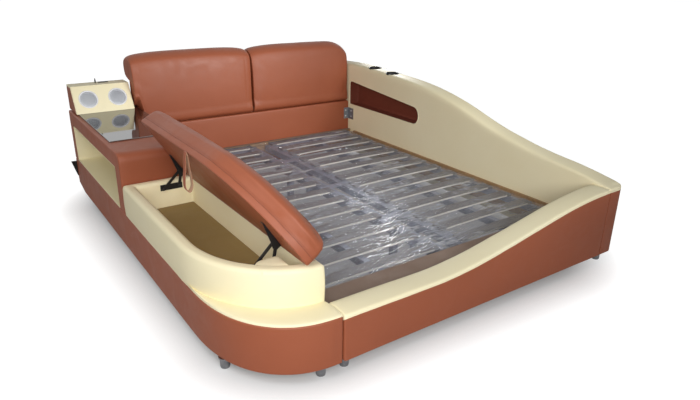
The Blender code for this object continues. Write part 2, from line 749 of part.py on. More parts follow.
def build_lid(parent):
    """Board and crowned cushion of the lid, modelled shut."""
    low = BOX_RIM_Z + LID_SEAT_CLEAR
    seam = low + LID_BOARD_THICK
    half = LID_EDGE_ROUND * (1 - math.sqrt(0.5))
    loops = []
    for bed_inset, z in ((LID_EDGE_ROUND, low), (half, low + half), (0.0, low + LID_EDGE_ROUND), (0.0, seam)):
        loops += plan_loops(lid_outline(0.0, bed_inset), (z,))
    shape = bmesh.new()
    add_loft(shape, loops)
    add_object("lid_board", shape, dark_leather(), parent=parent, smooth=True)
    rise = LID_THICK - LID_BOARD_THICK - LID_CROWN / 2
    loops = plan_loops(lid_outline(), (seam + GAP,))
    for inset_share, height_share in LID_SIDE_SHARES:
        loops += plan_loops(lid_outline(LID_BULGE * inset_share), (seam + rise * height_share,))
    for inset_share, height_share in LID_TOP_SHARES:
        loops += plan_loops(lid_outline(LID_SHOULDER * inset_share), (seam + rise * height_share,))
    loops += plan_loops(lid_outline(LID_SHOULDER), (seam + rise + LID_CROWN / 2,))
    cushion = bmesh.new()
    add_loft(cushion, loops)
    add_object("lid_cushion", cushion, brown_leather(), parent=parent, smooth=True)


def layer(index, face, direction):
    """The two y faces of one layer of the linkage, counted from the face that carries it."""
    start = face + direction * (GAP + index * (PLATE_THICK + LAYER_GAP))
    return tuple(sorted((start, start + direction * PLATE_THICK)))


def base_plate_span():
    """Left and right edges of a base plate."""
    pivots = linkage()
    return pivots["long_base"][0] - BASE_PLATE_MARGIN, pivots["short_base"][0] + BASE_PLATE_END


def build_linkage(parent):
    """Base plate, long arm, short arm and top plate at each end of the lid."""
    pivots = linkage()
    left, right = base_plate_span()
    plate_top = BOX_RIM_Z - RIM_ROLL - GAP
    under = BOX_RIM_Z + LID_SEAT_CLEAR - GAP
    blade = [(BLADE_INSET, BLADE_DEEP), (BLADE_INSET, 0.0), (BLADE_TIP_INSET, 0.0),
             (BLADE_TIP_INSET, BLADE_TIP_DEEP), (BLADE_KNEE_INSET, BLADE_KNEE_DEEP),
             (BLADE_HEEL_INSET, BLADE_HEEL_DEEP)]
    blade = [(X_BED - inset, under - deep) for inset, deep in blade]
    ends = (("foot", Y_FOOT + CLEAT_FACE, 1.0), ("head", Y_FOOT + CABINET_FOOT - GAP - BOX_WALL, -1.0))
    for end, face, direction in ends:
        layers = [layer(index, face, direction) for index in range(4)]
        outline = [(left, plate_top - BASE_PLATE_HEIGHT), (right, plate_top - BASE_PLATE_HEIGHT),
                   (right, plate_top), (left, plate_top)]
        shape = bmesh.new()
        add_front_prism(shape, outline, *layers[0])
        plate = add_object("lift_base_plate_" + end, shape, black_steel())
        pins = bmesh.new()
        middle = sum(layers[0]) / 2
        for (x, z), last in ((pivots["long_base"], layers[3]), (pivots["short_base"], layers[1])):
            tip = max(last) + PIN_PROUD / 4 if direction > 0 else min(last) - PIN_PROUD / 4
            add_bar(pins, PIN_RADIUS, SMALL_SIDES, (x, middle, z), (x, tip, z))
        join(plate, "base_pins_" + end, pins)
        for kind, base, tip, faces in (("long", pivots["long_base"], pivots["long_open"], layers[3]),
                                       ("short", pivots["short_base"], pivots["short_open"], layers[1])):
            shape = bmesh.new()
            add_front_prism(shape, capsule(base, tip, ARM_WIDTH / 2), *faces)
            arm = add_object("lift_" + kind + "_arm_" + end, shape, black_steel(),
                             origin=(base[0], faces[0], base[1]))
            bore = bmesh.new()
            add_bar(bore, PIN_RADIUS + PIN_CLEAR, SMALL_SIDES, (base[0], faces[0] - OVERRUN, base[1]),
                    (base[0], faces[1] + OVERRUN, base[1]))
            cut(arm, kind + "_arm_bore_" + end, bore)
        shape = bmesh.new()
        add_front_prism(shape, blade, *layers[2])
        top = add_object("lift_top_plate_" + end, shape, black_steel(), parent=parent)
        root = sum(layers[2]) / 2
        reach = sorted((root, root + direction * FLANGE_WIDTH))
        inner = BLADE_TIP_DEEP / 4
        flange = boxes([((X_BED - BLADE_TIP_INSET + inner, reach[0], under - PLATE_THICK),
                         (X_BED - BLADE_INSET - inner, reach[1], under - inner / 4))])
        join(top, "top_flange_" + end, flange)


def interpolate(outline, x):
    """The y of an outline's foot side at x."""
    for (x0, y0), (x1, y1) in zip(outline[:-1], outline[1:]):
        if x1 <= x <= x0:
            return y0 + (y1 - y0) * (x - x0) / (x1 - x0)
    raise ValueError("the outline doesn't reach that far")


def build_cleat():
    """Block in the foot end of the box, with the flat face that carries the foot linkage."""
    left, right = base_plate_span()
    outline = storage_outline(BOX_WALL + GAP)[:CORNER_STEPS + 1]
    behind = [point for point in outline if left < point[0] < right]
    curve = [(right, interpolate(outline, right))] + behind + [(left, interpolate(outline, left))]
    face = Y_FOOT + CLEAT_FACE
    plan_prism("lift_cleat", curve + [(left, face), (right, face)], BASE_HEIGHT + BOX_FLOOR_THICK + 2 * GAP,
               BOX_RIM_Z - CLEAT_DROP, cream_leather())


def build_strap():
    """Leather loop that hangs plumb from the open lid's outer lower edge."""
    shut = (X_SIDE - LID_OVERHANG, BOX_RIM_Z + LID_SEAT_CLEAR - STRAP_DROP)
    px, pz = turned_about_lift(shut, math.radians(LID_OPEN_DEGREES))
    y, top = Y_FOOT + CABINET_FOOT * STRAP_PLACE_SHARE, STRAP_DROP - GAP
    foot_half, foot_deep = STRAP_FOOT_SHARES
    outer = [(top, 0.0)]
    inner = [(0.0, -STRAP_LENGTH * STRAP_TOP_SHARE)]
    for height_share, open_share in zip(STRAP_HEIGHT_SHARES, STRAP_OPEN_SHARES):
        half = STRAP_THICK + STRAP_LOOP * open_share
        outer.append((half, -STRAP_LENGTH * height_share))
        if height_share > STRAP_TOP_SHARE:
            inner.append((half - STRAP_THICK, -STRAP_LENGTH * height_share))
    outer += [(STRAP_LOOP * foot_half, -STRAP_LENGTH * foot_deep), (0.0, -STRAP_LENGTH)]
    inner += [(STRAP_LOOP * foot_half / 2, -STRAP_LENGTH * foot_deep + STRAP_THICK),
              (0.0, -STRAP_LENGTH + STRAP_THICK)]
    crown = arc_points((0.0, 0.0), top, 135, 45, 2)
    outer = crown + outer + [(-x, z) for x, z in reversed(outer[:-1])]
    inner = inner + [(-x, z) for x, z in reversed(inner[1:-1])]
    shape, window = bmesh.new(), bmesh.new()
    add_front_prism(shape, [(px + x, pz + z) for x, z in outer], y - STRAP_WIDTH / 2, y + STRAP_WIDTH / 2)
    strap = add_object("lid_pull_strap", shape, brown_leather(), origin=(px, y, pz))
    add_front_prism(window, [(px + x, pz + z) for x, z in inner], y - STRAP_WIDTH, y + STRAP_WIDTH)
    cut(strap, "strap_window", window)


def rail_top(x):
    """Height of the foot rail's top, level on the left and swept up to the wing on the right."""
    share = (x - X_BED) / MATTRESS_WIDTH
    rise = smooth_step((share - RAIL_LEVEL_SHARE) / (1 - RAIL_LEVEL_SHARE))
    return BASE_HEIGHT + (RAIL_HIGH_Z - BASE_HEIGHT) * rise


def build_foot_rail():
    """Swept foot rail: a brown core and the cream cap over its top and inner side."""
    core_loops, cap_loops = [], []
    inner = Y_BED - RAIL_CAP_SLAB
    for step in range(RAIL_STATIONS + 1):
        x = X_BED + GAP + (MATTRESS_WIDTH - 2 * GAP) * step / RAIL_STATIONS
        top = rail_top(x)
        under = top - RAIL_CAP_THICK
        core_loops.append([(x, Y_FOOT, FOOT_HEIGHT), (x, Y_FOOT, under - GAP),
                           (x, inner - GAP, under - GAP), (x, inner - GAP, FOOT_HEIGHT)])
        cap_loops.append([(x, Y_FOOT, under), (x, Y_FOOT, top - RAIL_EDGE), (x, Y_FOOT + RAIL_EDGE, top),
                          (x, (Y_FOOT + Y_BED) / 2, top + RAIL_CAP_CROWN), (x, Y_BED - 2 * RAIL_EDGE, top),
                          (x, Y_BED - RAIL_EDGE / 2, top - RAIL_EDGE / 2), (x, Y_BED, top - 2 * RAIL_EDGE),
                          (x, Y_BED, RAIL_CAP_BOTTOM_Z), (x, inner, RAIL_CAP_BOTTOM_Z), (x, inner, under)])
    for name, loops, finish in (("foot_rail_panel", core_loops, brown_leather()),
                                ("foot_rail_cap", cap_loops, cream_leather())):
        shape = bmesh.new()
        add_loft(shape, loops)
        add_object(name, shape, finish, smooth=True)


def wing_crest(y):
    """Height of the wing's crest at y: a smooth curve through its table of shares."""
    share = (y - Y_FOOT) / LENGTH
    table = WING_CREST_SHARES
    last = len(table) - 1
    index = 0
    while index < last - 1 and share > table[index + 1][0]:
        index += 1
    here, after = table[index], table[index + 1]
    before, beyond = table[max(0, index - 1)], table[min(last, index + 2)]
    span = after[0] - here[0]
    local = min(1.0, max(0.0, (share - here[0]) / span))
    slope_in = (after[1] - before[1]) / (after[0] - before[0]) * span
    slope_out = (beyond[1] - here[1]) / (beyond[0] - here[0]) * span
    square, cube = local ** 2, local ** 3
    height = ((2 * cube - 3 * square + 1) * here[1] + (cube - 2 * square + local) * slope_in
              + (3 * square - 2 * cube) * after[1] + (cube - square) * slope_out)
    return WING_FOOT_Z + (WING_HEAD_Z - WING_FOOT_Z) * height


def wing_reach(y):
    """Distance of the wing's outer face from its inner face, less where its foot corner is rounded."""
    short = max(0.0, WING_END_ROUND - (y - Y_FOOT))
    return WING_THICK - WING_END_ROUND + math.sqrt(WING_END_ROUND ** 2 - short ** 2)


def wing_inner_drop(y):
    grow = smooth_step((y - Y_FOOT - WING_DROP_START) / (WING_DROP_END - WING_DROP_START))
    return WING_INNER_DROP_FOOT + (WING_INNER_DROP_HEAD - WING_INNER_DROP_FOOT) * grow


def wing_section(y, low, lower, slab):
    """Cross-section of the wing's pad at y: a slab on the bed side under a rounded top layer."""
    crest, reach, drop = wing_crest(y), wing_reach(y), wing_inner_drop(y)
    points = [(X_WING, low)]
    points += [(X_WING + reach * across, crest - drop * down) for across, down in WING_INNER_SHARES]
    points += [(X_WING + reach * across, crest - WING_OUTER_DROP * down)
               for across, down in WING_OUTER_SHARES]
    points += [(X_WING + reach, lower), (X_WING + slab, lower), (X_WING + slab, low)]
    return [(x, y, z) for x, z in points]


def build_wing():
    """Raised side: a cream pad, a brown panel on its outer side and a brown panel closing its foot end."""
    end_z = WING_FOOT_Z - WING_END_DROP
    back_of_end = Y_FOOT + WING_END_THICK
    start = back_of_end + GAP
    pad_loops, panel_loops = [], []
    for share in WING_END_STATION_SHARES:
        y = Y_FOOT + WING_END_THICK * share
        slab = WING_SLAB * wing_reach(y) / WING_THICK
        pad_loops.append(wing_section(y, end_z + GAP, end_z + 2 * GAP, slab))
    slab = WING_SLAB * wing_reach(back_of_end) / WING_THICK
    pad_loops.append(wing_section(back_of_end, end_z + GAP, end_z + 2 * GAP, slab))
    for step in range(WING_STATIONS + 1):
        y = start + (Y_BACK - start) * step / WING_STATIONS
        lower = wing_crest(y) - WING_TOP_LAYER
        inner, outer = X_WING + WING_SLAB + GAP, X_WING + wing_reach(y)
        pad_loops.append(wing_section(y, FOOT_HEIGHT, lower, WING_SLAB))
        panel_loops.append([(inner, y, FOOT_HEIGHT), (inner, y, lower - GAP),
                            (outer, y, lower - GAP), (outer, y, FOOT_HEIGHT)])
    pad, panel = bmesh.new(), bmesh.new()
    add_loft(pad, pad_loops)
    add_loft(panel, panel_loops)
    wing = add_object("wing_pad", pad, cream_leather(), smooth=True)
    add_object("wing_outer_panel", panel, brown_leather(), smooth=True)
    depth = WING_END_THICK - GAP
    ring = [(X_WING + GAP, Y_FOOT)]
    ring += [(X_WING + wing_reach(Y_FOOT + depth * share), Y_FOOT + depth * share)
             for share in WING_END_STATION_SHARES + (1.0,)]
    ring.append((X_WING + GAP, Y_FOOT + depth))
    plan_prism("wing_end_panel", ring, FOOT_HEIGHT, end_z, brown_leather())
    build_pocket(wing)
    build_cup_holders(wing)


def pocket_outline(inset):
    """Side outline (y, z) of the pocket: a sloped top and a rounded foot end."""
    head = Y_BACK - POCKET_BACK_MARGIN - inset
    foot = Y_BACK - POCKET_BACK_MARGIN - POCKET_LENGTH + inset
    low = POCKET_BOTTOM_Z + inset
    radius, small = POCKET_FOOT_ROUND - inset, POCKET_HEAD_ROUND - inset
    upper = arc_points((foot + radius, POCKET_FOOT_Z - inset - radius), radius, 100, 180, POCKET_ARC_STEPS)
    lower = arc_points((foot + radius, low + radius), radius, 180, 270, POCKET_ARC_STEPS)
    corner = arc_points((head - small, POCKET_HEAD_Z - inset - small), small, 0, 90, POCKET_ARC_STEPS)
    return corner + upper + lower + [(head, low)]


def build_pocket(wing):
    """Recess in the wing's inner face and the liner that fits it."""
    recess, hollow = bmesh.new(), bmesh.new()
    add_side_prism(recess, pocket_outline(0.0), X_WING - OVERRUN, X_WING + POCKET_DEPTH)
    cut(wing, "pocket_recess", recess)
    liner = side_prism("pocket_liner", pocket_outline(GAP), X_WING + GAP, X_WING + POCKET_DEPTH - GAP,
                       dark_leather())
    add_side_prism(hollow, pocket_outline(GAP + POCKET_WALL), X_WING - OVERRUN,
                   X_WING + POCKET_DEPTH - GAP - POCKET_WALL)
    cut(liner, "pocket_hollow", hollow)


def build_cup_holders(wing):
    """Two black cups let into the wing's top."""
    for name, margin in zip(("cup_holder_foot", "cup_holder_head"), CUP_BACK_MARGINS):
        y = Y_BACK - margin
        centre = (X_WING + CUP_INSET, y, wing_crest(y) - CUP_SINK)
        bore = CUP_RADIUS + GAP
        hole, cup = bmesh.new(), bmesh.new()
        add_turned(hole, [(0, -CUP_DEPTH - GAP), (bore, -CUP_DEPTH - GAP), (bore, OVERRUN + CUP_SINK),
                          (0, OVERRUN + CUP_SINK)], CUP_SIDES, centre)
        cut(wing, name + "_hole", hole)
        inner, floor = CUP_RADIUS - CUP_WALL, -CUP_DEPTH + CUP_WALL
        add_turned(cup, [(0, -CUP_DEPTH), (CUP_RADIUS, -CUP_DEPTH), (CUP_RADIUS, 0), (inner, 0),
                         (inner * CUP_TAPER_SHARE, floor), (0, floor)], CUP_SIDES, centre)
        add_object(name, cup, black_plastic(), smooth=True)


def headrest_axis():
    """Line about which the headrests tilt, as (y, z): the centre of their rounded lower front edge."""
    return (Y_HEAD + HEADREST_BOTTOM_ROUND, BAND_TOP_Z + GAP + HEADREST_BOTTOM_ROUND)


def headrest_lift(x):
    """How far the pads' lower side is raised at x, where the left pad reaches over the cabinet."""
    table = [(X_BED - reach, lift) for reach, lift in HEADREST_LIFT_TABLE]
    table.append((X_BED + HEADREST_LIFT_RUN, 0.0))
    for (x0, lift0), (x1, lift1) in zip(table[:-1], table[1:]):
        if x <= x1:
            return lift0 + (lift1 - lift0) * max(0.0, x - x0) / (x1 - x0)
    return 0.0


def headrest_loop(x, pull):
    """One cross-section of a headrest pad, drawn in by pull; its lower front edge is round about the axis."""
    ay, az = headrest_axis()
    low = az - HEADREST_BOTTOM_ROUND
    rise = HEADREST_TOP_Z - low
    points = arc_points((ay, az), HEADREST_BOTTOM_ROUND, 270, 180, 3)
    points += [(Y_HEAD + HEAD_DEPTH * across, low + rise * up) for across, up in HEADREST_SHARES]
    centre = Vector((Y_HEAD + HEAD_DEPTH / 2, low + rise * HEADREST_LIFT_SHARE))
    lift, limit = headrest_lift(x), rise * HEADREST_LIFT_SHARE
    loop = []
    for y, z in points:
        if z > az + HEADREST_BOTTOM_ROUND:
            y, z = centre + (Vector((y, z)) - centre) * (1 - 2 * pull / HEAD_DEPTH)
        if z - low < limit:
            z = low + lift + (z - low) * (limit - lift) / limit
        loop.append((x, y, z))
    return loop


def build_headrests():
    """Two crowned headrest pads, drawn in towards their ends, with one bore each for the pivot rod."""
    ay, az = headrest_axis()
    seam = X_BED + HEADREST_SEAM
    spans = (("headrest_left", X_BED - HEADREST_REACH, seam - HEADREST_SEAM_GAP / 2),
             ("headrest_right", seam + HEADREST_SEAM_GAP / 2, X_WING - HEADREST_END_CLEAR))
    for name, left, right in spans:
        loops = []
        for station, draw in zip(HEADREST_STATION_SHARES, HEADREST_DRAW_SHARES):
            loops.append(headrest_loop(left + (right - left) * station, HEADREST_CROWN * draw))
        shape = bmesh.new()
        add_loft(shape, loops)
        pad = add_object(name, shape, brown_leather(), origin=((left + right) / 2, ay, az), smooth=True)
        bore = bmesh.new()
        add_bar(bore, ROD_RADIUS + GAP, SMALL_SIDES, (left - OVERRUN, ay, az), (right + OVERRUN, ay, az))
        cut(pad, name + "_bore", bore)


def tongue_places():
    """Left and right faces of the rod's three tongues."""
    seam = X_BED + HEADREST_SEAM
    last = X_WING - GAP - GAP / 2
    first = X_BED + ROD_INSET
    return ((first, first + TONGUE_THICK), (seam - TONGUE_THICK / 2, seam + TONGUE_THICK / 2),
            (last - TONGUE_THICK, last))


def build_headrest_rod(core):
    """Steel rod through both headrests, with three tongues that stand in slots in the headboard's core."""
    ay, az = headrest_axis()
    front = Y_HEAD + BAND_THICK + TONGUE_SETBACK + GAP
    back = front + TONGUE_WIDTH
    bottom = BAND_TOP_Z - TONGUE_SINK
    head = arc_points((ay, az), TONGUE_RADIUS, 0, TONGUE_TURN_DEGREES, SMALL_SIDES)
    outline = [(front, bottom), (back, bottom), (back, az)] + head + [(front, head[-1][1])]
    plates, slots = bmesh.new(), bmesh.new()
    for low, high in tongue_places():
        add_side_prism(plates, outline, low, high)
        past = high + (OVERRUN if high > X_WING - OVERRUN else GAP)
        add_box(slots, (low - GAP, front - GAP, bottom - GAP), (past, back + GAP, BAND_TOP_Z + OVERRUN))
    rod = add_object("headrest_rod", plates, material("zinc_steel", STEEL_GREY, 0.35, 0.9))
    bar = bmesh.new()
    places = tongue_places()
    inner = TONGUE_THICK / 4
    add_bar(bar, ROD_RADIUS, SMALL_SIDES, (places[0][0] + inner, ay, az), (places[2][1] - inner, ay, az))
    join(rod, "rod_bar", bar)
    cut(core, "tongue_slots", slots)


def build_headboard():
    """Padded band, core and back board of the headboard, under the two headrests."""
    left, right = X_BED + GAP, X_WING - GAP
    band = box_object("headboard_band", (left, Y_HEAD, BAND_BOTTOM_Z),
                      (right, Y_HEAD + BAND_THICK, BAND_TOP_Z), brown_leather())
    bevel(band, BAND_EDGE)
    core = box_object("headboard_core", (left, Y_HEAD + BAND_THICK + GAP, FOOT_HEIGHT),
                      (right, Y_HEAD + CORE_DEPTH, BAND_TOP_Z), brown_leather())
    board = Y_HEAD + CORE_DEPTH + GAP
    top = BAND_TOP_Z + (HEADREST_TOP_Z - BAND_TOP_Z) * BACK_BOARD_RISE_SHARE
    box_object("headboard_back_board", (left, board, BACK_BOARD_LOW_Z),
               (right, board + BACK_BOARD_THICK, top), brown_leather())
    build_headrests()
    build_headrest_rod(core)


def build_bearer_frame():
    """Stepped wooden frame round the bed's inside: a lip, a step and the shelf under the slat frames."""
    low_x, high_x, low_y, high_y = X_BED + GAP, X_WING - GAP, Y_BED + GAP, Y_HEAD - GAP
    section = ((0.0, BEARER_BOTTOM_Z), (0.0, BEARER_LIP_Z), (BEARER_LIP, BEARER_LIP_Z),
               (BEARER_LIP, BEARER_STEP_Z), (BEARER_STEP, BEARER_STEP_Z), (BEARER_STEP, BEARER_SHELF_Z),
               (BEARER_SHELF, BEARER_SHELF_Z), (BEARER_SHELF, BEARER_BOTTOM_Z))
    loops = []
    for inset, z in section:
        a, b, c, d = low_x + inset, high_x - inset, low_y + inset, high_y - inset
        loops.append([(a, c, z), (b, c, z), (b, d, z), (a, d, z)])
    shape = bmesh.new()
    add_loft(shape, loops, closed_path=True)
    frame = add_object("bearer_frame", shape, plywood())
    head = high_y - BEARER_NOTCH_FROM_HEAD
    notch = boxes([((high_x - BEARER_LIP - GAP, head - BEARER_NOTCH_LENGTH, BEARER_STEP_Z - GAP),
                    (high_x + OVERRUN, head, BEARER_LIP_Z + OVERRUN))])
    cut(frame, "bearer_notch", notch)
    sunk = BEARER_LIP / 2
    ledge = boxes([((low_x + sunk, low_y + sunk, SLAT_TOP_Z + FILM_THICK + 3 * GAP),
                    (high_x - sunk, low_y + FOOT_LEDGE_DEPTH, BEARER_LIP_Z - FOOT_LEDGE_DROP))])
    join(frame, "foot_ledge", ledge)


def build_slat_frame(name, left, right, first_rail, middle, extra):
    """Welded tube frame: a slab between left and right with a window on each side of its middle tube."""
    low, high = BEARER_SHELF_Z + GAP, SLAT_TOP_Z - SLAT_THICK - GAP
    near, far = Y_BED + BEARER_STEP + TUBE_CLEAR, Y_HEAD - BEARER_STEP - TUBE_CLEAR
    frame = box_object(name, (left, near, low), (right, far, high), painted_steel())
    last_rail = TUBE_SIDE + CENTRE_RAIL_WIDTH - first_rail
    edges = (left + first_rail, middle - MID_RAIL_WIDTH / 2, middle + MID_RAIL_WIDTH / 2, right - last_rail)
    foot, head = near + TUBE_SIDE, far - TUBE_SIDE
    windows = [((edges[at], foot, low - OVERRUN), (edges[at + 1], head, high + OVERRUN)) for at in (0, 2)]
    cut(frame, name + "_windows", boxes(windows))
    join(frame, name + "_extras", boxes(extra))


def build_slat_base():
    """Two steel sub-frames with legs, their slats and the film that wraps them."""
    low, high = BEARER_SHELF_Z + GAP, SLAT_TOP_Z - SLAT_THICK - GAP
    start = BEARER_STEP + TUBE_CLEAR
    left, right = X_BED + start, X_WING - start
    rail_left = X_BED + SLAT_LEFT_END + CENTRE_RAIL_PAST_LEFT
    rail_right = X_BED + SLAT_RIGHT_END - CENTRE_RAIL_PAST_RIGHT
    lap = CROSS_PLATE_THICK
    legs = {"left": [], "right": []}
    for side, x in (("left", rail_left - CENTRE_RAIL_WIDTH / 2 - LEG_SIDE / 2),
                    ("right", rail_right + CENTRE_RAIL_WIDTH / 2 - LEG_SIDE / 2)):
        for share in LEG_PLACE_SHARES:
            y = Y_FOOT + LENGTH * share
            legs[side].append(((x, y, 0.0), (x + LEG_SIDE, y + LEG_SIDE, low + lap)))
    for share in CROSS_PLATE_PLACE_SHARES:
        y = Y_FOOT + LENGTH * share
        legs["left"].append(((rail_left - lap, y, high - CROSS_PLATE_THICK),
                             (rail_right - GAP, y + CROSS_PLATE_LENGTH, high - GAP / 3)))
    build_slat_frame("slat_frame_left", left, rail_left, TUBE_SIDE,
                     (left + rail_left - CENTRE_RAIL_WIDTH + TUBE_SIDE) / 2, legs["left"])
    build_slat_frame("slat_frame_right", rail_right, right, CENTRE_RAIL_WIDTH,
                     (rail_right + CENTRE_RAIL_WIDTH + right - TUBE_SIDE) / 2, legs["right"])
    build_slats(high + GAP)
    box_object("plastic_film", (X_BED + FILM_SIDE_MARGIN, Y_BED + FILM_FOOT_MARGIN, SLAT_TOP_Z + GAP),
               (X_WING - FILM_SIDE_MARGIN, Y_HEAD - FILM_HEAD_MARGIN, SLAT_TOP_Z + GAP + FILM_THICK),
               material("clear_film", FILM_WHITE, 0.15, alpha=0.3))


def build_slats(low):
    """Two panels of like slats, each held by a flat strip along both of its sides."""
    first = Y_BED + SLAT_FOOT_MARGIN
    last = first + SLAT_PITCH * (SLAT_COUNT - 1) + SLAT_WIDTH
    panels = (("slats_left", X_BED + SLAT_SIDE_MARGIN, X_BED + SLAT_LEFT_END),
              ("slats_right", X_BED + SLAT_RIGHT_END, X_WING - SLAT_SIDE_MARGIN))
    edge = HOLDER_THICK
    for name, left, right in panels:
        strips = [((x, first + edge, low), (x + HOLDER_WIDTH, last - edge, low + HOLDER_THICK))
                  for x in (left + edge, right - edge - HOLDER_WIDTH)]
        panel = add_object(name, boxes(strips), material("slat_wood", PALE_WOOD, 0.55))
        slats = []
        for index in range(SLAT_COUNT):
            y = first + SLAT_PITCH * index
            slats.append(((left, y, low + GAP), (right, y + SLAT_WIDTH, SLAT_TOP_Z)))
        join(panel, name + "_slats", boxes(slats))


def build_corner_brackets():
    """Angle brackets in the head corners, each with the heads of its four screws."""
    head = Y_HEAD - GAP
    sink = BRACKET_THICK / 3
    for name, corner, sign in (("bracket_left", X_BED + GAP, 1), ("bracket_right", X_WING - GAP, -1)):
        inner, out = corner + sign * BRACKET_THICK, corner + sign * BRACKET_LEAF
        ring = [(corner, head), (out, head), (out, head - BRACKET_THICK), (inner, head - BRACKET_THICK),
                (inner, head - BRACKET_LONG_LEAF), (corner, head - BRACKET_LONG_LEAF)]
        bracket = plan_prism(name, ring, BRACKET_LOW_Z, BRACKET_LOW_Z + BRACKET_HEIGHT,
                             material("zinc_steel", STEEL_GREY, 0.35, 0.9))
        screws = bmesh.new()
        for share in SCREW_PLACE_SHARES:
            z = BRACKET_LOW_Z + BRACKET_HEIGHT * share
            x, face = corner + sign * BRACKET_LEAF * SCREW_ALONG_SHARE, head - BRACKET_THICK
            add_bar(screws, SCREW_RADIUS, SMALL_SIDES, (x, face + sink, z), (x, face - SCREW_HEIGHT, z))
            y = head - BRACKET_LONG_LEAF * SCREW_ALONG_SHARE
            add_bar(screws, SCREW_RADIUS, SMALL_SIDES, (inner - sign * sink, y, z),
                    (inner + sign * SCREW_HEIGHT, y, z))
        join(bracket, name + "_screws", screws)


def build_feet():
    """Round feet under the unit, the foot rail and the wing."""
    side = X_SIDE + UNIT_FOOT_ALONG
    spots = (("foot_unit_front", X_BED - UNIT_FOOT_IN, Y_FOOT + FRAME_FOOT_ALONG),
             ("foot_unit_corner", side, Y_FOOT + CORNER_FOOT_ALONG),
             ("foot_unit_rear", side, Y_BACK - REAR_FOOT_FROM_BACK),
             ("foot_rail_foot", X_BED + RAIL_FOOT_IN, Y_FOOT + FRAME_FOOT_ALONG),
             ("foot_wing_front", X_WING + WING_FOOT_IN, Y_FOOT + FRAME_FOOT_ALONG),
             ("foot_wing_rear", X_WING + WING_FOOT_IN, Y_BACK - WING_REAR_FROM_BACK))
    top = FOOT_HEIGHT - GAP
    edge = FOOT_PAD_THICK * FOOT_EDGE_SHARE
    profile = [(0, 0), (FOOT_RADIUS - edge, 0), (FOOT_RADIUS, edge), (FOOT_RADIUS, top - FOOT_PAD_THICK),
               (FOOT_PAD_RADIUS, top - FOOT_PAD_THICK), (FOOT_PAD_RADIUS, top), (0, top)]
    for name, x, y in spots:
        shape = bmesh.new()
        add_turned(shape, profile, FOOT_SIDES, (x, y, 0.0))
        add_object(name, shape, material("dark_chrome", GREY, 0.25, 1.0), smooth=True)


def build_spacer():
    """Small dark spacer that sticks out past the left side at the back corner."""
    face, low = X_SIDE - GAP, SPACER_TOP_Z - SPACER_HEIGHT
    outline = [(face, SPACER_TOP_Z), (X_SIDE - SPACER_REACH, SPACER_TOP_Z),
               (face - SPACER_REACH * SPACER_TIP_SHARE, low), (face, low)]
    shape = bmesh.new()
    add_front_prism(shape, outline, Y_BACK - SPACER_THICK, Y_BACK)
    add_object("rear_spacer", shape, black_plastic())


def lid_empty():
    """Empty on the lift axis, turned by as much as the lid rests open; what it carries is modelled shut."""
    ax, az = lift_axis()
    pivot = bpy.data.objects.new("lid_lift_pivot", None)
    pivot.location = (ax, 0.0, az)
    pivot.rotation_euler = (0.0, math.radians(LID_OPEN_DEGREES), 0.0)
    bpy.context.scene.collection.objects.link(pivot)
    model_frame = bpy.data.objects.new("lid_shut_frame", None)
    model_frame.location = (-ax, 0.0, -az)
    model_frame.parent = pivot
    bpy.context.scene.collection.objects.link(model_frame)
    return model_frame


def main():
    clear_scene()
    build_plinth()
    build_ledge()
    build_storage_box()
    build_cabinet()
    build_speaker_box()
    build_foot_rail()
    build_wing()
    build_headboard()
    build_bearer_frame()
    build_slat_base()
    build_corner_brackets()
    build_feet()
    build_spacer()
    lid = lid_empty()
    build_lid(lid)
    build_linkage(lid)
    build_cleat()
    build_strap()


main()
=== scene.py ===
"""The visible pieces of an upholstered double bed with a storage unit and a raised wing.

Metres, +Z up, the foot end towards -Y. Each operator builds one piece or one group of like pieces round the
packed model, which holds the bodies that they ride on.
"""
import json
import math

import bmesh
import bpy
import numpy as np
from bpy.props import FloatProperty, FloatVectorProperty, IntProperty, PointerProperty
from mathutils import Matrix, Vector, kdtree, noise


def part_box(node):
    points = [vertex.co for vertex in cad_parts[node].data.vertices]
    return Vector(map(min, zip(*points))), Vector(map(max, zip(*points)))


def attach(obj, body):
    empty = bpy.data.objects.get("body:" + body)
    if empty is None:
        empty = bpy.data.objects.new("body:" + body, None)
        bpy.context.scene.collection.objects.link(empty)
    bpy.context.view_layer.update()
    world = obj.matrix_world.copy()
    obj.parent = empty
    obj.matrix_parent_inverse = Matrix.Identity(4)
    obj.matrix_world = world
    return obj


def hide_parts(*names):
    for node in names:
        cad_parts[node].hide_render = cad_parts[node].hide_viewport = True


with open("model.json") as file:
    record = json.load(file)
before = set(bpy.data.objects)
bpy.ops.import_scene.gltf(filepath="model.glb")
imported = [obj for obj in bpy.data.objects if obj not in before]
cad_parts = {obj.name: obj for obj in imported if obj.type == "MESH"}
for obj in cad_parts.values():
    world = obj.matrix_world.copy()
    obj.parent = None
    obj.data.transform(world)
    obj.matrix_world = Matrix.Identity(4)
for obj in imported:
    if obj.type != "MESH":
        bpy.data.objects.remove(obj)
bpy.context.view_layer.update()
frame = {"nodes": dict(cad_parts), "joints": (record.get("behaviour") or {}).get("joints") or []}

bl_info = {
    "name": "Storage Bed",
    "version": (1, 0, 0),
    "blender": (4, 5, 0),
    "location": "3D View > Sidebar > Bed",
    "description": "Upholstered double bed with a storage unit and a raised wing",
    "category": "Add Mesh",
}

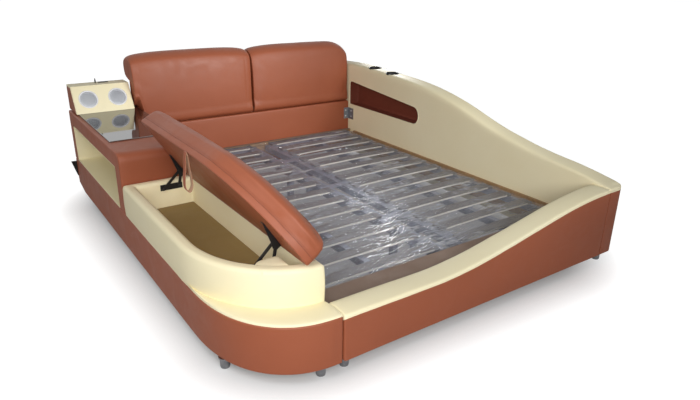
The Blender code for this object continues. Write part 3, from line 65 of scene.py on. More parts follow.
# Places read from the packed model
X_SIDE, X_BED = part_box("cabinet_body")[0].x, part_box("cabinet_body")[1].x
X_WING, X_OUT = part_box("wing_pad")[0].x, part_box("wing_pad")[1].x
Y_FOOT, Y_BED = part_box("foot_rail_cap")[0].y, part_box("foot_rail_cap")[1].y
Y_HEAD, Y_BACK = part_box("headboard_band")[0].y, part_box("cabinet_body")[1].y
SKIRT_LOW, SKIRT_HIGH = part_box("plinth_side_panel")[0].z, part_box("plinth_side_panel")[1].z
RIM_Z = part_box("storage_box")[1].z
CABINET_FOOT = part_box("cabinet_body")[0].y
CABINET_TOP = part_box("cabinet_body")[1].z
BAND_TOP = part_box("headboard_band")[1].z
HEADREST_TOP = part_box("headrest_left")[1].z
LENGTH = Y_BACK - Y_FOOT
STRIP_END = Y_BED + 0.1115

# Play between pieces that lie against each other
GAP = 0.0003

# Shapes that the model's solids share
PLINTH_CORNER, PLINTH_POWER = 0.460, 2.4
BOX_CORNER, LID_CORNER, BOX_POWER = 0.430, 0.470, 2.0
SKIRT_THICK, BOX_WALL = 0.022, 0.052
BOX_FOOT = Y_FOOT + 0.115
LID_FOOT, LID_HEAD = Y_FOOT + 0.110, CABINET_FOOT - 0.0107
LID_LEFT, LID_RIGHT = X_SIDE - 0.010, X_BED - 0.028
LID_LOW, LID_SEAM, LID_RISE = RIM_Z + 0.0015, RIM_Z + 0.0145, 0.094
LIFT_AXIS = Vector((X_BED - 0.0452, 0.0, RIM_Z + 0.0375))
LID_OPEN = math.radians(57.0)
REAR_BEVEL_RISE, REAR_BEVEL_RUN = 0.028, 0.130
WING_FOOT_Z, WING_HEAD_Z = 0.385, 0.684
WING_CREST = ((0.0, 0.0), (0.086, 0.11), (0.163, 0.177), (0.234, 0.254), (0.316, 0.381), (0.421, 0.619),
              (0.472, 0.719), (0.551, 0.839), (0.645, 0.910), (0.751, 0.960), (0.880, 1.0), (1.0, 0.96))
WING_END_ROUND, WING_END_THICK, WING_SLAB, WING_LAYER = 0.050, 0.022, 0.100, 0.055
WING_INNER = ((0.0, 1.6), (0.0, 1.3), (0.004, 0.95), (0.018, 0.60), (0.045, 0.32), (0.085, 0.15), (0.15, 0.05),
              (0.27, 0.0), (0.45, -0.02))
WING_OUTER = ((0.62, -0.04), (0.80, -0.05), (0.895, 0.0), (0.95, 0.14), (0.985, 0.42), (1.0, 0.85), (1.0, 1.2))
CUPS = ("cup_holder_foot", "cup_holder_head")
HEAD_PROFILE = ((-0.020, 0.20), (-0.024, 0.42), (-0.006, 0.62), (0.014, 0.74), (0.036, 0.830), (0.060, 0.874),
                (0.060, 0.884), (0.088, 0.914), (0.178, 0.956), (0.340, 0.993), (0.520, 1.0), (0.645, 0.988),
                (0.848, 0.947), (0.959, 0.892), (0.985, 0.808), (0.949, 0.724), (0.848, 0.683), (0.746, 0.671),
                (0.518, 0.664), (0.426, 0.640), (0.416, 0.327), (0.416, 0.0))
HEAD_STATIONS = (0.0, 0.012, 0.035, 0.062, 0.10, 0.20, 0.36, 0.50, 0.64, 0.80, 0.90, 0.95, 0.985, 1.0)
HEAD_DRAW = (1.0, 0.55, 0.30, 0.20, 0.12, 0.05, 0.0, 0.0, 0.0, 0.05, 0.12, 0.22, 0.55, 1.0)
HEAD_DEPTH = Y_BACK - Y_HEAD
HEAD_FOOT_ROUND = 0.030

# The left headrest's cut-back lower corner: its height in front and at the back, its slope, and the run it ends in
CUT_FRONT, CUT_BACK, CUT_SLOPE, CUT_RUN = 0.168, 0.122, 0.70, 0.020

# The leaning face of the speaker box, and the dome of its drivers' mesh
FACE_RUN, FACE_RISE = 0.080, 0.143
DRIVER_HOLE, DOT_REACH, DOT_STEP, DOT_ROW = 0.0455, 0.0385, 0.0044, 0.0038
DOME_REACH = (0.0, 0.010, 0.022, 0.036, 0.0428)
DOME_HEIGHT = (0.0, 0.0, -0.0006, -0.0022, -0.0042)

# Lights: name, place, what it is turned to, width and height, and the angle of its beam
LIGHTS = (
    ("front", (-2.0, -3.0, 1.3), (-0.5, 0.0, 0.3), (1.8, 1.2), 180.0),
    ("middle", (-1.1, -2.9, 1.2), (-0.1, -0.9, 0.2), (1.8, 1.1), 180.0),
    ("side", (-1.6, -1.2, 2.0), (-0.6, 0.4, 0.4), (1.2, 1.2), 180.0),
    ("head", (1.0, -2.2, 1.4), (0.0, 1.0, 0.5), (1.0, 0.8), 50.0),
    ("shelf", (-3.2, 0.2, 2.0), (0.0, 0.2, 0.3), (2.0, 1.6), 180.0),
    ("glint", (1.9, 1.8, 1.3), (0.15, -0.6, 0.2), (0.35, 0.35), 28.0),
)

# The floor's white starts round a rounded rectangle under the bed: inside it the floor is painted dark as shade, and
# round it a painted shadow fades out to white
FLOOR_HALF, FLOOR_ROUND = (0.60, 0.80, 0.0), 0.34


class BedSizes(bpy.types.PropertyGroup):
    """Sizes of the upholstery that a user would change."""

    edge_roll: FloatProperty(name="Edge roll", description="Radius of padded edges", default=0.008,
                             min=0.002, max=0.015, unit="LENGTH")
    panel_crown: FloatProperty(name="Panel crown", description="How far a padded panel stands out at its middle",
                               default=0.0025, min=0.0, max=0.006, unit="LENGTH")
    rim_roll: FloatProperty(name="Rim roll", description="Radius of the storage box's rolled rim", default=0.019,
                            min=0.008, max=0.024, unit="LENGTH")
    swell: FloatProperty(name="Swell", description="How far stuffing may push a cushion's skin out", default=0.004,
                         min=0.002, max=0.012, unit="LENGTH")
    fold_depth: FloatProperty(name="Fold depth", description="Depth of soft folds in stretched leather",
                              default=0.0011, min=0.0, max=0.004, unit="LENGTH")
    stitch_pitch: FloatProperty(name="Stitch pitch", description="Distance from one stitch to the next",
                                default=0.008, min=0.004, max=0.02, unit="LENGTH")
    slat_width: FloatProperty(name="Slat width", description="Width of one slat", default=0.062, min=0.03, max=0.09,
                              unit="LENGTH")
    slat_bow: FloatProperty(name="Slat bow", description="How far a slat rises at its middle", default=0.003,
                            min=0.0, max=0.01, unit="LENGTH")
    slat_count: IntProperty(name="Slats a side", description="Number of slats on each frame", default=14, min=6,
                            max=24)
    film_rise: FloatProperty(name="Film rise", description="Height of the film's creases", default=0.010,
                             min=0.0, max=0.015, unit="LENGTH")


class BedColours(bpy.types.PropertyGroup):
    """Colours of the bed's finishes."""

    brown: FloatVectorProperty(name="Brown leather", description="Main leather", subtype="COLOR", min=0, max=1,
                               default=(0.345, 0.094, 0.040))
    brown_deep: FloatVectorProperty(name="Brown leather, deep", description="Leather where it is darker",
                                    subtype="COLOR", min=0, max=1, default=(0.262, 0.067, 0.028))
    # The pocket's lining is the brown leather painted darker, as painted shade inside the pocket.
    lining: FloatVectorProperty(name="Dark lining", description="Lining of the pocket and the lid's underside",
                                subtype="COLOR", min=0, max=1, default=(0.190, 0.046, 0.026))
    cream: FloatVectorProperty(name="Cream leather", description="Second leather", subtype="COLOR", min=0, max=1,
                               default=(0.955, 0.875, 0.610))
    cream_deep: FloatVectorProperty(name="Cream leather, deep", description="Second leather where it is darker",
                                    subtype="COLOR", min=0, max=1, default=(0.890, 0.785, 0.495))
    slat_top: FloatVectorProperty(name="Slat faces", description="Slats' upper faces", subtype="COLOR", min=0,
                                  max=1, default=(0.190, 0.165, 0.152))
    slat_edge: FloatVectorProperty(name="Slat edges", description="Slats' pale edges", subtype="COLOR", min=0,
                                   max=1, default=(0.900, 0.850, 0.760))
    rail_paint: FloatVectorProperty(name="Frame paint", description="Paint on the steel frames", subtype="COLOR",
                                    min=0, max=1, default=(0.300, 0.320, 0.400))
    film_tint: FloatVectorProperty(name="Film", description="Clear film", subtype="COLOR", min=0, max=1,
                                   default=(0.540, 0.580, 0.700))
    board: FloatVectorProperty(name="Board", description="Bare board", subtype="COLOR", min=0, max=1,
                               default=(0.440, 0.270, 0.130))


class BedStage(bpy.types.PropertyGroup):
    """Camera and light."""

    camera_place: FloatVectorProperty(name="Camera place", description="Where the camera stands", size=3,
                                      subtype="TRANSLATION", default=(-1.577, -2.546, 1.313))
    camera_heading: FloatVectorProperty(name="Camera heading", description="Direction in which it looks", size=3,
                                        subtype="XYZ", default=(0.5387, 0.7588, -0.3660))
    camera_right: FloatVectorProperty(name="Camera right", description="Direction of the picture's right", size=3,
                                      subtype="XYZ", default=(0.8191, -0.5734, 0.0167))
    lens: FloatProperty(name="Lens", description="Focal length on a 36 mm sensor", default=30.16, min=10, max=200)
    front_power: FloatProperty(name="Front light", description="Power of the soft light by the camera", default=22.5,
                               min=0)
    middle_power: FloatProperty(name="Middle light", description="Power of the soft light on the foot rail",
                                default=31.0, min=0)
    side_power: FloatProperty(name="Side light", description="Power of the small soft light over the storage box",
                              default=12.5, min=0)
    head_power: FloatProperty(name="Head light", description="Power of the soft light on the headrests", default=6.0,
                              min=0)
    shelf_power: FloatProperty(name="Shelf light", description="Power of the soft light on the left side",
                               default=13.0, min=0)
    glint_power: FloatProperty(name="Glint light", description="Power of the small far light that the film catches",
                               default=0.38, min=0)
    sky: FloatProperty(name="Sky", description="Strength of the even light all round", default=0.08, min=0)
    floor_glow: FloatProperty(name="Floor white", description="White added to the floor near the bed", default=0.93,
                              min=0)


def sizes():
    return bpy.context.scene.bed_sizes


def colours():
    return bpy.context.scene.bed_colours


# Nodes


def node(tree, kind, inputs=None, **settings):
    """Add a node, set it up, and link or fill its inputs."""
    made = tree.nodes.new(kind)
    for key, value in settings.items():
        setattr(made, key, value)
    for key, value in (inputs or {}).items():
        socket = made.inputs[key]
        if isinstance(value, bpy.types.NodeSocket):
            tree.links.new(value, socket)
        else:
            socket.default_value = value
    return made


def sum_of(tree, first, second, operation="ADD"):
    """Sum of two values, or what another operation makes of them."""
    return node(tree, "ShaderNodeMath", {0: first, 1: second}, operation=operation).outputs[0]


def spread(tree, value, low, high, to_low=0.0, to_high=1.0):
    """Map a value's range onto another, held at its ends."""
    limits = {"Value": value, "From Min": low, "From Max": high, "To Min": to_low, "To Max": to_high}
    return node(tree, "ShaderNodeMapRange", limits).outputs["Result"]


def shader_group(name, inputs, outputs):
    """An empty shader group with named sockets, as (tree, its inputs, its output node)."""
    tree = bpy.data.node_groups.new(name, "ShaderNodeTree")
    for key, value in inputs.items():
        kind = "NodeSocketVector" if value is None else "NodeSocketFloat"
        socket = tree.interface.new_socket(key, in_out="INPUT", socket_type=kind)
        if value is not None:
            socket.default_value = value
    for key in outputs:
        tree.interface.new_socket(key, in_out="OUTPUT", socket_type="NodeSocketFloat")
    return tree, tree.nodes.new("NodeGroupInput").outputs, tree.nodes.new("NodeGroupOutput")


def leather_group():
    """Pebbled grain, soft creases, tone and gloss of finished leather."""
    tree, given, out = shader_group("leather_skin", {"Vector": None, "Pebble Scale": 330.0, "Crease Scale": 9.0},
                                    ("Tone", "Height", "Gloss"))
    pebble = node(tree, "ShaderNodeTexVoronoi", {"Vector": given["Vector"], "Scale": given["Pebble Scale"]},
                  feature="SMOOTH_F1").outputs["Distance"]
    fine = node(tree, "ShaderNodeTexNoise", {"Vector": given["Vector"], "Scale": 900.0, "Detail": 2.0}).outputs[0]
    crease = node(tree, "ShaderNodeTexNoise", {"Vector": given["Vector"], "Scale": given["Crease Scale"],
                                               "Detail": 5.0, "Roughness": 0.55, "Distortion": 1.1}).outputs[0]
    broad = node(tree, "ShaderNodeTexNoise", {"Vector": given["Vector"], "Scale": 2.3, "Detail": 3.0}).outputs[0]
    ridge = sum_of(tree, sum_of(tree, crease, 0.5, "SUBTRACT"), 0.0, "ABSOLUTE")
    line = spread(tree, ridge, 0.0, 0.06, 0.0, 1.0)
    grain = sum_of(tree, sum_of(tree, pebble, 0.7, "MULTIPLY"), sum_of(tree, fine, 0.3, "MULTIPLY"))
    tree.links.new(sum_of(tree, sum_of(tree, grain, 0.22, "MULTIPLY"), sum_of(tree, line, 0.35, "MULTIPLY")),
                   out.inputs["Height"])
    # The tone varies at random in broad patches and with the grain, and is darker down the crease valleys: painted
    # shade.
    patch = spread(tree, broad, 0.3, 0.7, 0.55, 1.0)
    tone = sum_of(tree, sum_of(tree, patch, spread(tree, pebble, 0.0, 0.7, 1.0, 0.86), "MULTIPLY"),
                  spread(tree, line, 0.0, 1.0, 0.93, 1.0), "MULTIPLY")
    tree.links.new(tone, out.inputs["Tone"])
    tree.links.new(spread(tree, crease, 0.3, 0.7, 0.0, 1.0), out.inputs["Gloss"])
    return tree


def fibre_group():
    """Long fibres of wood or board along X."""
    tree, given, out = shader_group("wood_fibre", {"Vector": None, "Stretch": 0.06, "Fibre Scale": 60.0},
                                    ("Tone", "Height"))
    squash = node(tree, "ShaderNodeCombineXYZ", {"X": given["Stretch"], "Y": 1.0, "Z": 1.0}).outputs[0]
    along = node(tree, "ShaderNodeVectorMath", {0: given["Vector"], 1: squash}, operation="MULTIPLY").outputs[0]
    fibre = node(tree, "ShaderNodeTexNoise", {"Vector": along, "Scale": given["Fibre Scale"], "Detail": 6.0,
                                              "Roughness": 0.65, "Distortion": 0.4}).outputs[0]
    broad = node(tree, "ShaderNodeTexNoise", {"Vector": along, "Scale": 9.0, "Detail": 2.0}).outputs[0]
    tree.links.new(sum_of(tree, spread(tree, fibre, 0.3, 0.7, 0.0, 0.7), spread(tree, broad, 0.3, 0.7, 0.0, 0.3)),
                   out.inputs["Tone"])
    tree.links.new(fibre, out.inputs["Height"])
    return tree


def wear_group():
    """Fine scratches and handling marks on metal, plastic and glass."""
    tree, given, out = shader_group("handling_marks", {"Vector": None, "Mark Scale": 30.0}, ("Tone", "Gloss", "Height"))
    cloud = node(tree, "ShaderNodeTexNoise", {"Vector": given["Vector"], "Scale": given["Mark Scale"],
                                              "Detail": 6.0, "Roughness": 0.7}).outputs[0]
    fine = node(tree, "ShaderNodeTexNoise", {"Vector": given["Vector"], "Scale": 500.0, "Detail": 2.0}).outputs[0]
    tree.links.new(spread(tree, cloud, 0.35, 0.7, 1.0, 0.0), out.inputs["Tone"])
    tree.links.new(spread(tree, cloud, 0.3, 0.7, 0.0, 1.0), out.inputs["Gloss"])
    tree.links.new(fine, out.inputs["Height"])
    return tree


def crease_group():
    """Sharp creases and glints of clear film."""
    tree, given, out = shader_group("film_creases", {"Vector": None, "Crease Scale": 9.0}, ("Glint", "Height"))
    bend = node(tree, "ShaderNodeTexNoise", {"Vector": given["Vector"], "Scale": 3.0, "Detail": 2.0}).outputs["Color"]
    swirl = node(tree, "ShaderNodeVectorMath", {0: bend, 1: (0.10, 0.10, 0.0)}, operation="MULTIPLY").outputs[0]
    place = node(tree, "ShaderNodeVectorMath", {0: given["Vector"], 1: swirl}, operation="ADD").outputs[0]
    turned = node(tree, "ShaderNodeMapping", {"Vector": place, "Rotation": (0.0, 0.0, 0.30),
                                              "Scale": (0.22, 3.2, 1.0)}).outputs[0]
    sharp = node(tree, "ShaderNodeTexNoise", {"Vector": turned, "Scale": given["Crease Scale"], "Detail": 5.0,
                                              "Roughness": 0.7, "Distortion": 0.15}).outputs[0]
    ridge = sum_of(tree, sum_of(tree, sharp, 0.5, "SUBTRACT"), 0.0, "ABSOLUTE")
    line = spread(tree, ridge, 0.0, 0.034, 1.0, 0.0)
    patch = node(tree, "ShaderNodeTexNoise", {"Vector": given["Vector"], "Scale": 4.0, "Detail": 3.0}).outputs[0]
    tree.links.new(sum_of(tree, line, spread(tree, patch, 0.50, 0.62), "MULTIPLY"), out.inputs["Glint"])
    tree.links.new(sum_of(tree, line, sharp), out.inputs["Height"])
    return tree


GROUPS = {"leather_skin": leather_group, "wood_fibre": fibre_group, "handling_marks": wear_group,
          "film_creases": crease_group}


def finish(name, slot, group, pale, deep, rough, marks=None, bump=0.2, depth=0.0006, **plain):
    """A material whose colour, gloss and relief come from one of the shared groups."""
    made = bpy.data.materials.get(name)
    if made:
        return made
    made = bpy.data.materials.new(name)
    made.use_nodes = True
    made["slot"] = slot
    tree = made.node_tree
    shader = tree.nodes["Principled BSDF"]
    if group not in bpy.data.node_groups:
        GROUPS[group]()
    coords = node(tree, "ShaderNodeTexCoord").outputs["Object"]
    values = {"Vector": coords, **(marks or {})}
    surface = node(tree, "ShaderNodeGroup", node_tree=bpy.data.node_groups[group])
    for key, value in values.items():
        if isinstance(value, bpy.types.NodeSocket):
            tree.links.new(value, surface.inputs[key])
        else:
            surface.inputs[key].default_value = value
    mask = surface.outputs["Glint"] if "Glint" in surface.outputs else surface.outputs["Tone"]
    mix = node(tree, "ShaderNodeMix", {0: mask, 6: (*deep, 1.0), 7: (*pale, 1.0)}, data_type="RGBA")
    tree.links.new(mix.outputs[2], shader.inputs["Base Color"])
    gloss = surface.outputs["Gloss"] if "Gloss" in surface.outputs else mask
    tree.links.new(spread(tree, gloss, 0.0, 1.0, *rough), shader.inputs["Roughness"])
    relief = node(tree, "ShaderNodeBump", {"Strength": bump, "Distance": depth,
                                           "Height": surface.outputs["Height"]})
    tree.links.new(relief.outputs[0], shader.inputs["Normal"])
    for key, value in plain.items():
        shader.inputs[key.replace("_", " ").title().replace("Ior", "IOR")].default_value = value
    return made


def brown_leather():
    c = colours()
    return finish("brown_hide", "brown_leather", "leather_skin", c.brown, c.brown_deep, (0.42, 0.54), bump=0.30,
                  specular_ior_level=0.42)


def cream_leather():
    c = colours()
    return finish("cream_hide", "cream_leather", "leather_skin", c.cream, c.cream_deep, (0.46, 0.60), bump=0.25,
                  specular_ior_level=0.25)


# The pocket's lining: the brown leather painted darker, as painted shade inside the pocket.
def dark_lining():
    c = colours()
    return finish("dark_lining", "dark_leather", "leather_skin", c.lining, (0.12, 0.030, 0.018), (0.45, 0.6), bump=0.3,
                  specular_ior_level=0.3)


def strap_pale():
    return finish("strap_flesh", "cream_leather", "leather_skin", (0.62, 0.40, 0.26), (0.48, 0.28, 0.17), (0.6, 0.8))


def thread(colour, name):
    return finish(name, "brown_leather" if "brown" in name else "cream_leather", "wood_fibre", colour,
                  tuple(0.7 * v for v in colour), (0.6, 0.8), {"Fibre Scale": 900.0, "Stretch": 0.6})


def bare_board():
    c = colours()
    return finish("bare_board", "plywood", "wood_fibre", c.board, tuple(0.55 * v for v in c.board), (0.6, 0.8))


def floor_felt():
    return finish("box_floor", "plywood", "leather_skin", (0.300, 0.200, 0.070), (0.210, 0.135, 0.045), (0.55, 0.7),
                  {"Pebble Scale": 160.0}, bump=0.3)


# The brown strip over the bearer at the foot, and the same dark colour at the head end as painted shade.
def strip_cloth():
    return finish("strip_cloth", "plywood", "leather_skin", (0.250, 0.170, 0.125), (0.180, 0.120, 0.088), (0.6, 0.8),
                  {"Pebble Scale": 200.0}, bump=0.3)


def slat_face():
    c = colours()
    return finish("slat_face", "slat_wood", "wood_fibre", c.slat_top, tuple(0.6 * v for v in c.slat_top), (0.4, 0.6))


def slat_edge():
    c = colours()
    return finish("slat_edge", "slat_wood", "wood_fibre", c.slat_edge, tuple(0.7 * v for v in c.slat_edge),
                  (0.5, 0.7), {"Fibre Scale": 160.0})


def frame_paint():
    c = colours()
    return finish("frame_paint", "painted_steel", "handling_marks", c.rail_paint,
                  tuple(0.6 * v for v in c.rail_paint), (0.30, 0.5), metallic=0.2)


def zinc():
    return finish("zinc_plate", "zinc_steel", "handling_marks", (0.33, 0.35, 0.38), (0.20, 0.21, 0.23), (0.25, 0.5),
                  metallic=0.8)


def black_paint():
    return finish("black_paint", "black_steel", "handling_marks", (0.020, 0.020, 0.021), (0.008, 0.008, 0.009),
                  (0.28, 0.5), metallic=0.3)


def black_moulding():
    return finish("black_moulding", "black_plastic", "handling_marks", (0.018, 0.018, 0.018), (0.008, 0.008, 0.008),
                  (0.45, 0.6), specular_ior_level=0.2)


def grey_moulding():
    return finish("grey_moulding", "grey_plastic", "handling_marks", (0.20, 0.19, 0.19), (0.13, 0.12, 0.12),
                  (0.45, 0.6))


def silver_ring():
    return finish("silver_ring", "silver_trim", "handling_marks", (0.78, 0.78, 0.79), (0.64, 0.64, 0.66), (0.40, 0.55),
                  metallic=0.3)


def grille():
    return finish("grille_mesh", "silver_trim", "handling_marks", (0.52, 0.54, 0.57), (0.40, 0.41, 0.45),
                  (0.45, 0.6), {"Mark Scale": 8.0}, metallic=0.2)


def black_glass():
    return finish("black_glass", "dark_glass", "handling_marks", (0.010, 0.010, 0.011), (0.006, 0.006, 0.007),
                  (0.02, 0.05), bump=0.004, ior=2.6, specular_ior_level=0.8)


def chrome():
    return finish("bright_chrome", "dark_chrome", "handling_marks", (0.42, 0.43, 0.44), (0.24, 0.24, 0.26),
                  (0.10, 0.25), metallic=1.0)


def clear_film():
    c = colours()
    # Along the glint lines the film is painted near-white and nearly opaque: painted glints.
    made = finish("creased_film", "clear_film", "film_creases", (0.92, 0.94, 0.98), c.film_tint, (0.05, 0.16), bump=0.9,
                  depth=0.004, ior=1.7)
    tree = made.node_tree
    shader = tree.nodes["Principled BSDF"].inputs
    if not shader["Alpha"].is_linked:
        glint = next(n for n in tree.nodes if n.type == "GROUP").outputs["Glint"]
        tree.links.new(spread(tree, glint, 0.0, 1.0, 0.27, 0.97), shader["Alpha"])
        tree.links.new(spread(tree, glint, 0.30, 0.9, 0.0, 0.35), shader["Metallic"])
    return made


# Meshes


def loft(loops, caps=True, ring=False):
    """Skin equal loops of points, as (points, faces); a ring joins the last loop to the first."""
    loops = np.asarray(loops, float)
    rows, count = loops.shape[:2]
    faces = []
    for row in range(rows if ring else rows - 1):
        here, after = row * count, (row + 1) % rows * count
        for at in range(count):
            step = (at + 1) % count
            faces.append((here + at, here + step, after + step, after + at))
    if caps and not ring:
        faces.append(tuple(reversed(range(count))))
        faces.append(tuple(range((rows - 1) * count, rows * count)))
    return loops.reshape(-1, 3), faces


def capped(loops, rings=5):
    """A loft whose ends close in rings, so that they can be stuffed."""
    loops = [np.asarray(loop, float) for loop in loops]
    ends = []
    for loop in (loops[0], loops[-1]):
        middle = loop.mean(0)
        ends.append([middle + (loop - middle) * share for share in np.linspace(0, 1, rings, endpoint=False)])
    return loft(ends[0] + loops + ends[1][::-1], caps=False)


def sheet_grid(rows):
    """An open grid of points, as (points, faces)."""
    rows = np.asarray(rows, float)
    down, across = rows.shape[:2]
    faces = [(r * across + c, r * across + c + 1, (r + 1) * across + c + 1, (r + 1) * across + c)
             for r in range(down - 1) for c in range(across - 1)]
    return rows.reshape(-1, 3), faces


def turned(profile, sides, centre=(0.0, 0.0, 0.0)):
    """Turn a profile of (radius, height) about an upright line, as (points, faces)."""
    angles = np.linspace(0, 2 * math.pi, sides, endpoint=False)
    loops = [[(centre[0] + max(r, 1e-5) * math.cos(a), centre[1] + max(r, 1e-5) * math.sin(a), centre[2] + h)
              for a in angles] for r, h in profile]
    return loft(loops)


def mesh_of(name, parts):
    """One mesh of several (points, faces) parts, welded, with faces outwards."""
    shape = bmesh.new()
    for points, faces in parts:
        verts = [shape.verts.new(p) for p in points]
        for face in faces:
            shape.faces.new([verts[i] for i in face])
    bmesh.ops.remove_doubles(shape, verts=shape.verts, dist=0.00002)
    bmesh.ops.dissolve_degenerate(shape, dist=0.00002, edges=shape.edges)
    bmesh.ops.recalc_face_normals(shape, faces=shape.faces)
    mesh = bpy.data.meshes.new(name)
    shape.to_mesh(mesh)
    shape.free()
    return mesh


def linked(name, data):
    """Put a mesh, a lamp or a camera in the scene as an object."""
    made = bpy.data.objects.new(name, data)
    bpy.context.scene.collection.objects.link(made)
    return made


def loose(name, parts):
    """An object of some parts that isn't yet a piece."""
    return linked(name, mesh_of(name, parts))


def settle(obj):
    """Keep what an object's modifiers make, as a plain mesh."""
    graph = bpy.context.evaluated_depsgraph_get()
    graph.update()
    mesh = bpy.data.meshes.new_from_object(obj.evaluated_get(graph), preserve_all_data_layers=True, depsgraph=graph)
    obj.modifiers.clear()
    obj.data = mesh
    return obj


def drop(*objects):
    """Take helpers that aren't needed any more out of the file."""
    for old in objects:
        bpy.data.objects.remove(old, do_unlink=True)


def cut_out(target, *cutters):
    """Take closed shapes away from an object."""
    for cutter in cutters:
        step = target.modifiers.new("cut", "BOOLEAN")
        step.object, step.solver = cutter, "EXACT"
    settle(target)
    drop(*cutters)
    return target


def place(obj, material, body="bed", replaces=(), fill=None, sharp=42, flat=False):
    """Make a loose object a piece: its finish, the body it rides on, and the nodes it stands for."""
    mesh = obj.data
    if material is not None:
        mesh.materials.clear()
        mesh.materials.append(material)
    mesh.shade_smooth()
    mesh.set_sharp_from_angle(angle=math.radians(sharp))
    if flat:
        even = obj.modifiers.new("flat_faces", "WEIGHTED_NORMAL")
        even.keep_sharp, even.weight = True, 100
        mesh = settle(obj).data
    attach(obj, body)
    if replaces:
        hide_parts(*replaces)
    return obj


def push_out(obj, depth, share_at):
    """Move every point along its normal, by depth times the share at that point."""
    mesh = obj.data
    normals = [v.normal.copy() for v in mesh.vertices]
    for vert, normal in zip(mesh.vertices, normals):
        vert.co += normal * depth * share_at(vert.co)
    mesh.update()
    return obj


def rumple(obj, depth, size, seed, stretch=(1.0, 1.0, 1.0)):
    """Move points in and out a little, as leather lies over padding."""
    shift = Vector((seed * 7.31, seed * 3.17, seed * 5.77))

    def wave(spot):
        spot = Vector((spot.x * stretch[0], spot.y * stretch[1], spot.z * stretch[2])) / size
        return noise.fractal(spot + shift, 0.9, 2.0, 3)

    return push_out(obj, depth, wave)


def carve(obj, path, width, depth):
    """Press a sewn seam into an object along a path."""
    tree = kdtree.KDTree(len(path))
    for index, spot in enumerate(path):
        tree.insert(spot, index)
    tree.balance()
    return push_out(obj, -depth, lambda spot: max(0.0, 1 - tree.find(spot)[2] / width) ** 2)


def swell(obj, reach, held):
    """Stuff a closed pad with a short cloth run; no point moves further than reach, held ones stay."""
    before = np.array([v.co for v in obj.data.vertices])
    group = obj.vertex_groups.new(name="held")
    group.add([i for i, spot in enumerate(before) if held(spot)], 1.0, "REPLACE")
    cloth = obj.modifiers.new("stuffing", "CLOTH")
    cloth.settings.use_pressure = True
    cloth.settings.uniform_pressure_force = 4.0
    cloth.settings.effector_weights.gravity = 0.0
    cloth.settings.vertex_group_mass = "held"
    cloth.settings.quality = 4
    scene = bpy.context.scene
    cloth.point_cache.frame_start, cloth.point_cache.frame_end = 1, 20
    for step in range(1, 21):
        scene.frame_set(step)
    settle(obj)
    scene.frame_set(1)
    obj.vertex_groups.clear()
    moved = np.array([v.co for v in obj.data.vertices]) - before
    far = np.linalg.norm(moved, axis=1)
    moved *= np.minimum(1.0, reach / np.maximum(far, 1e-9))[:, None]
    obj.data.vertices.foreach_set("co", (before + moved).astype(np.float32).ravel())
    obj.data.update()
    finer = obj.modifiers.new("finer", "SUBSURF")
    finer.levels = finer.render_levels = 1
    return settle(obj)


def fillet(corners, steps=5):
    """Round a closed outline's corners: each is (across, up, radius, extra points on the edge after it)."""
    points = []
    count = len(corners)
    for at, (x, y, radius, extra) in enumerate(corners):
        here = np.array((x, y))
        before, after = np.array(corners[at - 1][:2]), np.array(corners[(at + 1) % count][:2])
        back, ahead = (before - here), (after - here)
        back, ahead = back / np.linalg.norm(back), ahead / np.linalg.norm(ahead)
        start, end = here + back * radius, here + ahead * radius
        for step in range(steps + 1):
            t = step / steps
            points.append((1 - t) ** 2 * start + 2 * t * (1 - t) * here + t ** 2 * end)
        beyond = corners[(at + 1) % count]
        finish_at = after - ahead * beyond[2]
        for step in range(1, extra + 1):
            points.append(end + (finish_at - end) * step / (extra + 1))
    return np.array(points)


def arc(centre, radius, start, end, count):
    """Points on a round from one angle to another."""
    return [(centre[0] + radius * math.cos(turn), centre[1] + radius * math.sin(turn))
            for turn in np.linspace(start, end, count)]


def drawn_in(section, inset):
    """Shrink a closed section towards its middle by inset on every side."""
    section = np.asarray(section, float)
    low, high = section.min(0), section.max(0)
    half = (high - low) / 2
    return (low + high) / 2 + (section - (low + high) / 2) * (1 - np.minimum(inset / half, 0.9))


def stations(start, end, count, roll_start=0.0, roll_end=0.0, steps=5):
    """Places from start to end, each with how far the section draws in for the rounded ends."""
    places = []
    for step in range(steps if roll_start else 0):
        turn = math.pi / 2 * step / steps
        places.append((start + roll_start * (1 - math.cos(turn)), roll_start * (1 - math.sin(turn))))
    places += [(spot, 0.0) for spot in np.linspace(start + roll_start, end - roll_end, count)]
    for step in reversed(range(steps if roll_end else 0)):
        turn = math.pi / 2 * step / steps
        places.append((end - roll_end * (1 - math.cos(turn)), roll_end * (1 - math.sin(turn))))
    return places


def along_x(section_at, places):
    """Sections (y, z) at places along X."""
    return loft([[(x, y, z) for y, z in drawn_in(section_at(x), inset)] for x, inset in places])


def block(low, high, roll, finer=6):
    """A padded block with rolled edges between two corners, as (points, faces)."""
    (x0, y0, z0), (x1, y1, z1) = low, high
    outline = fillet([(y0, z0, roll, finer), (y1, z0, roll, finer), (y1, z1, roll, finer), (y0, z1, roll, finer)])
    return along_x(lambda x: outline, stations(x0, x1, max(2, int((x1 - x0) / 0.04)), roll, roll))


def smooth_step(value):
    """From 0 to 1 with soft ends, held outside them."""
    value = min(1.0, max(0.0, value))
    return value * value * (3 - 2 * value)


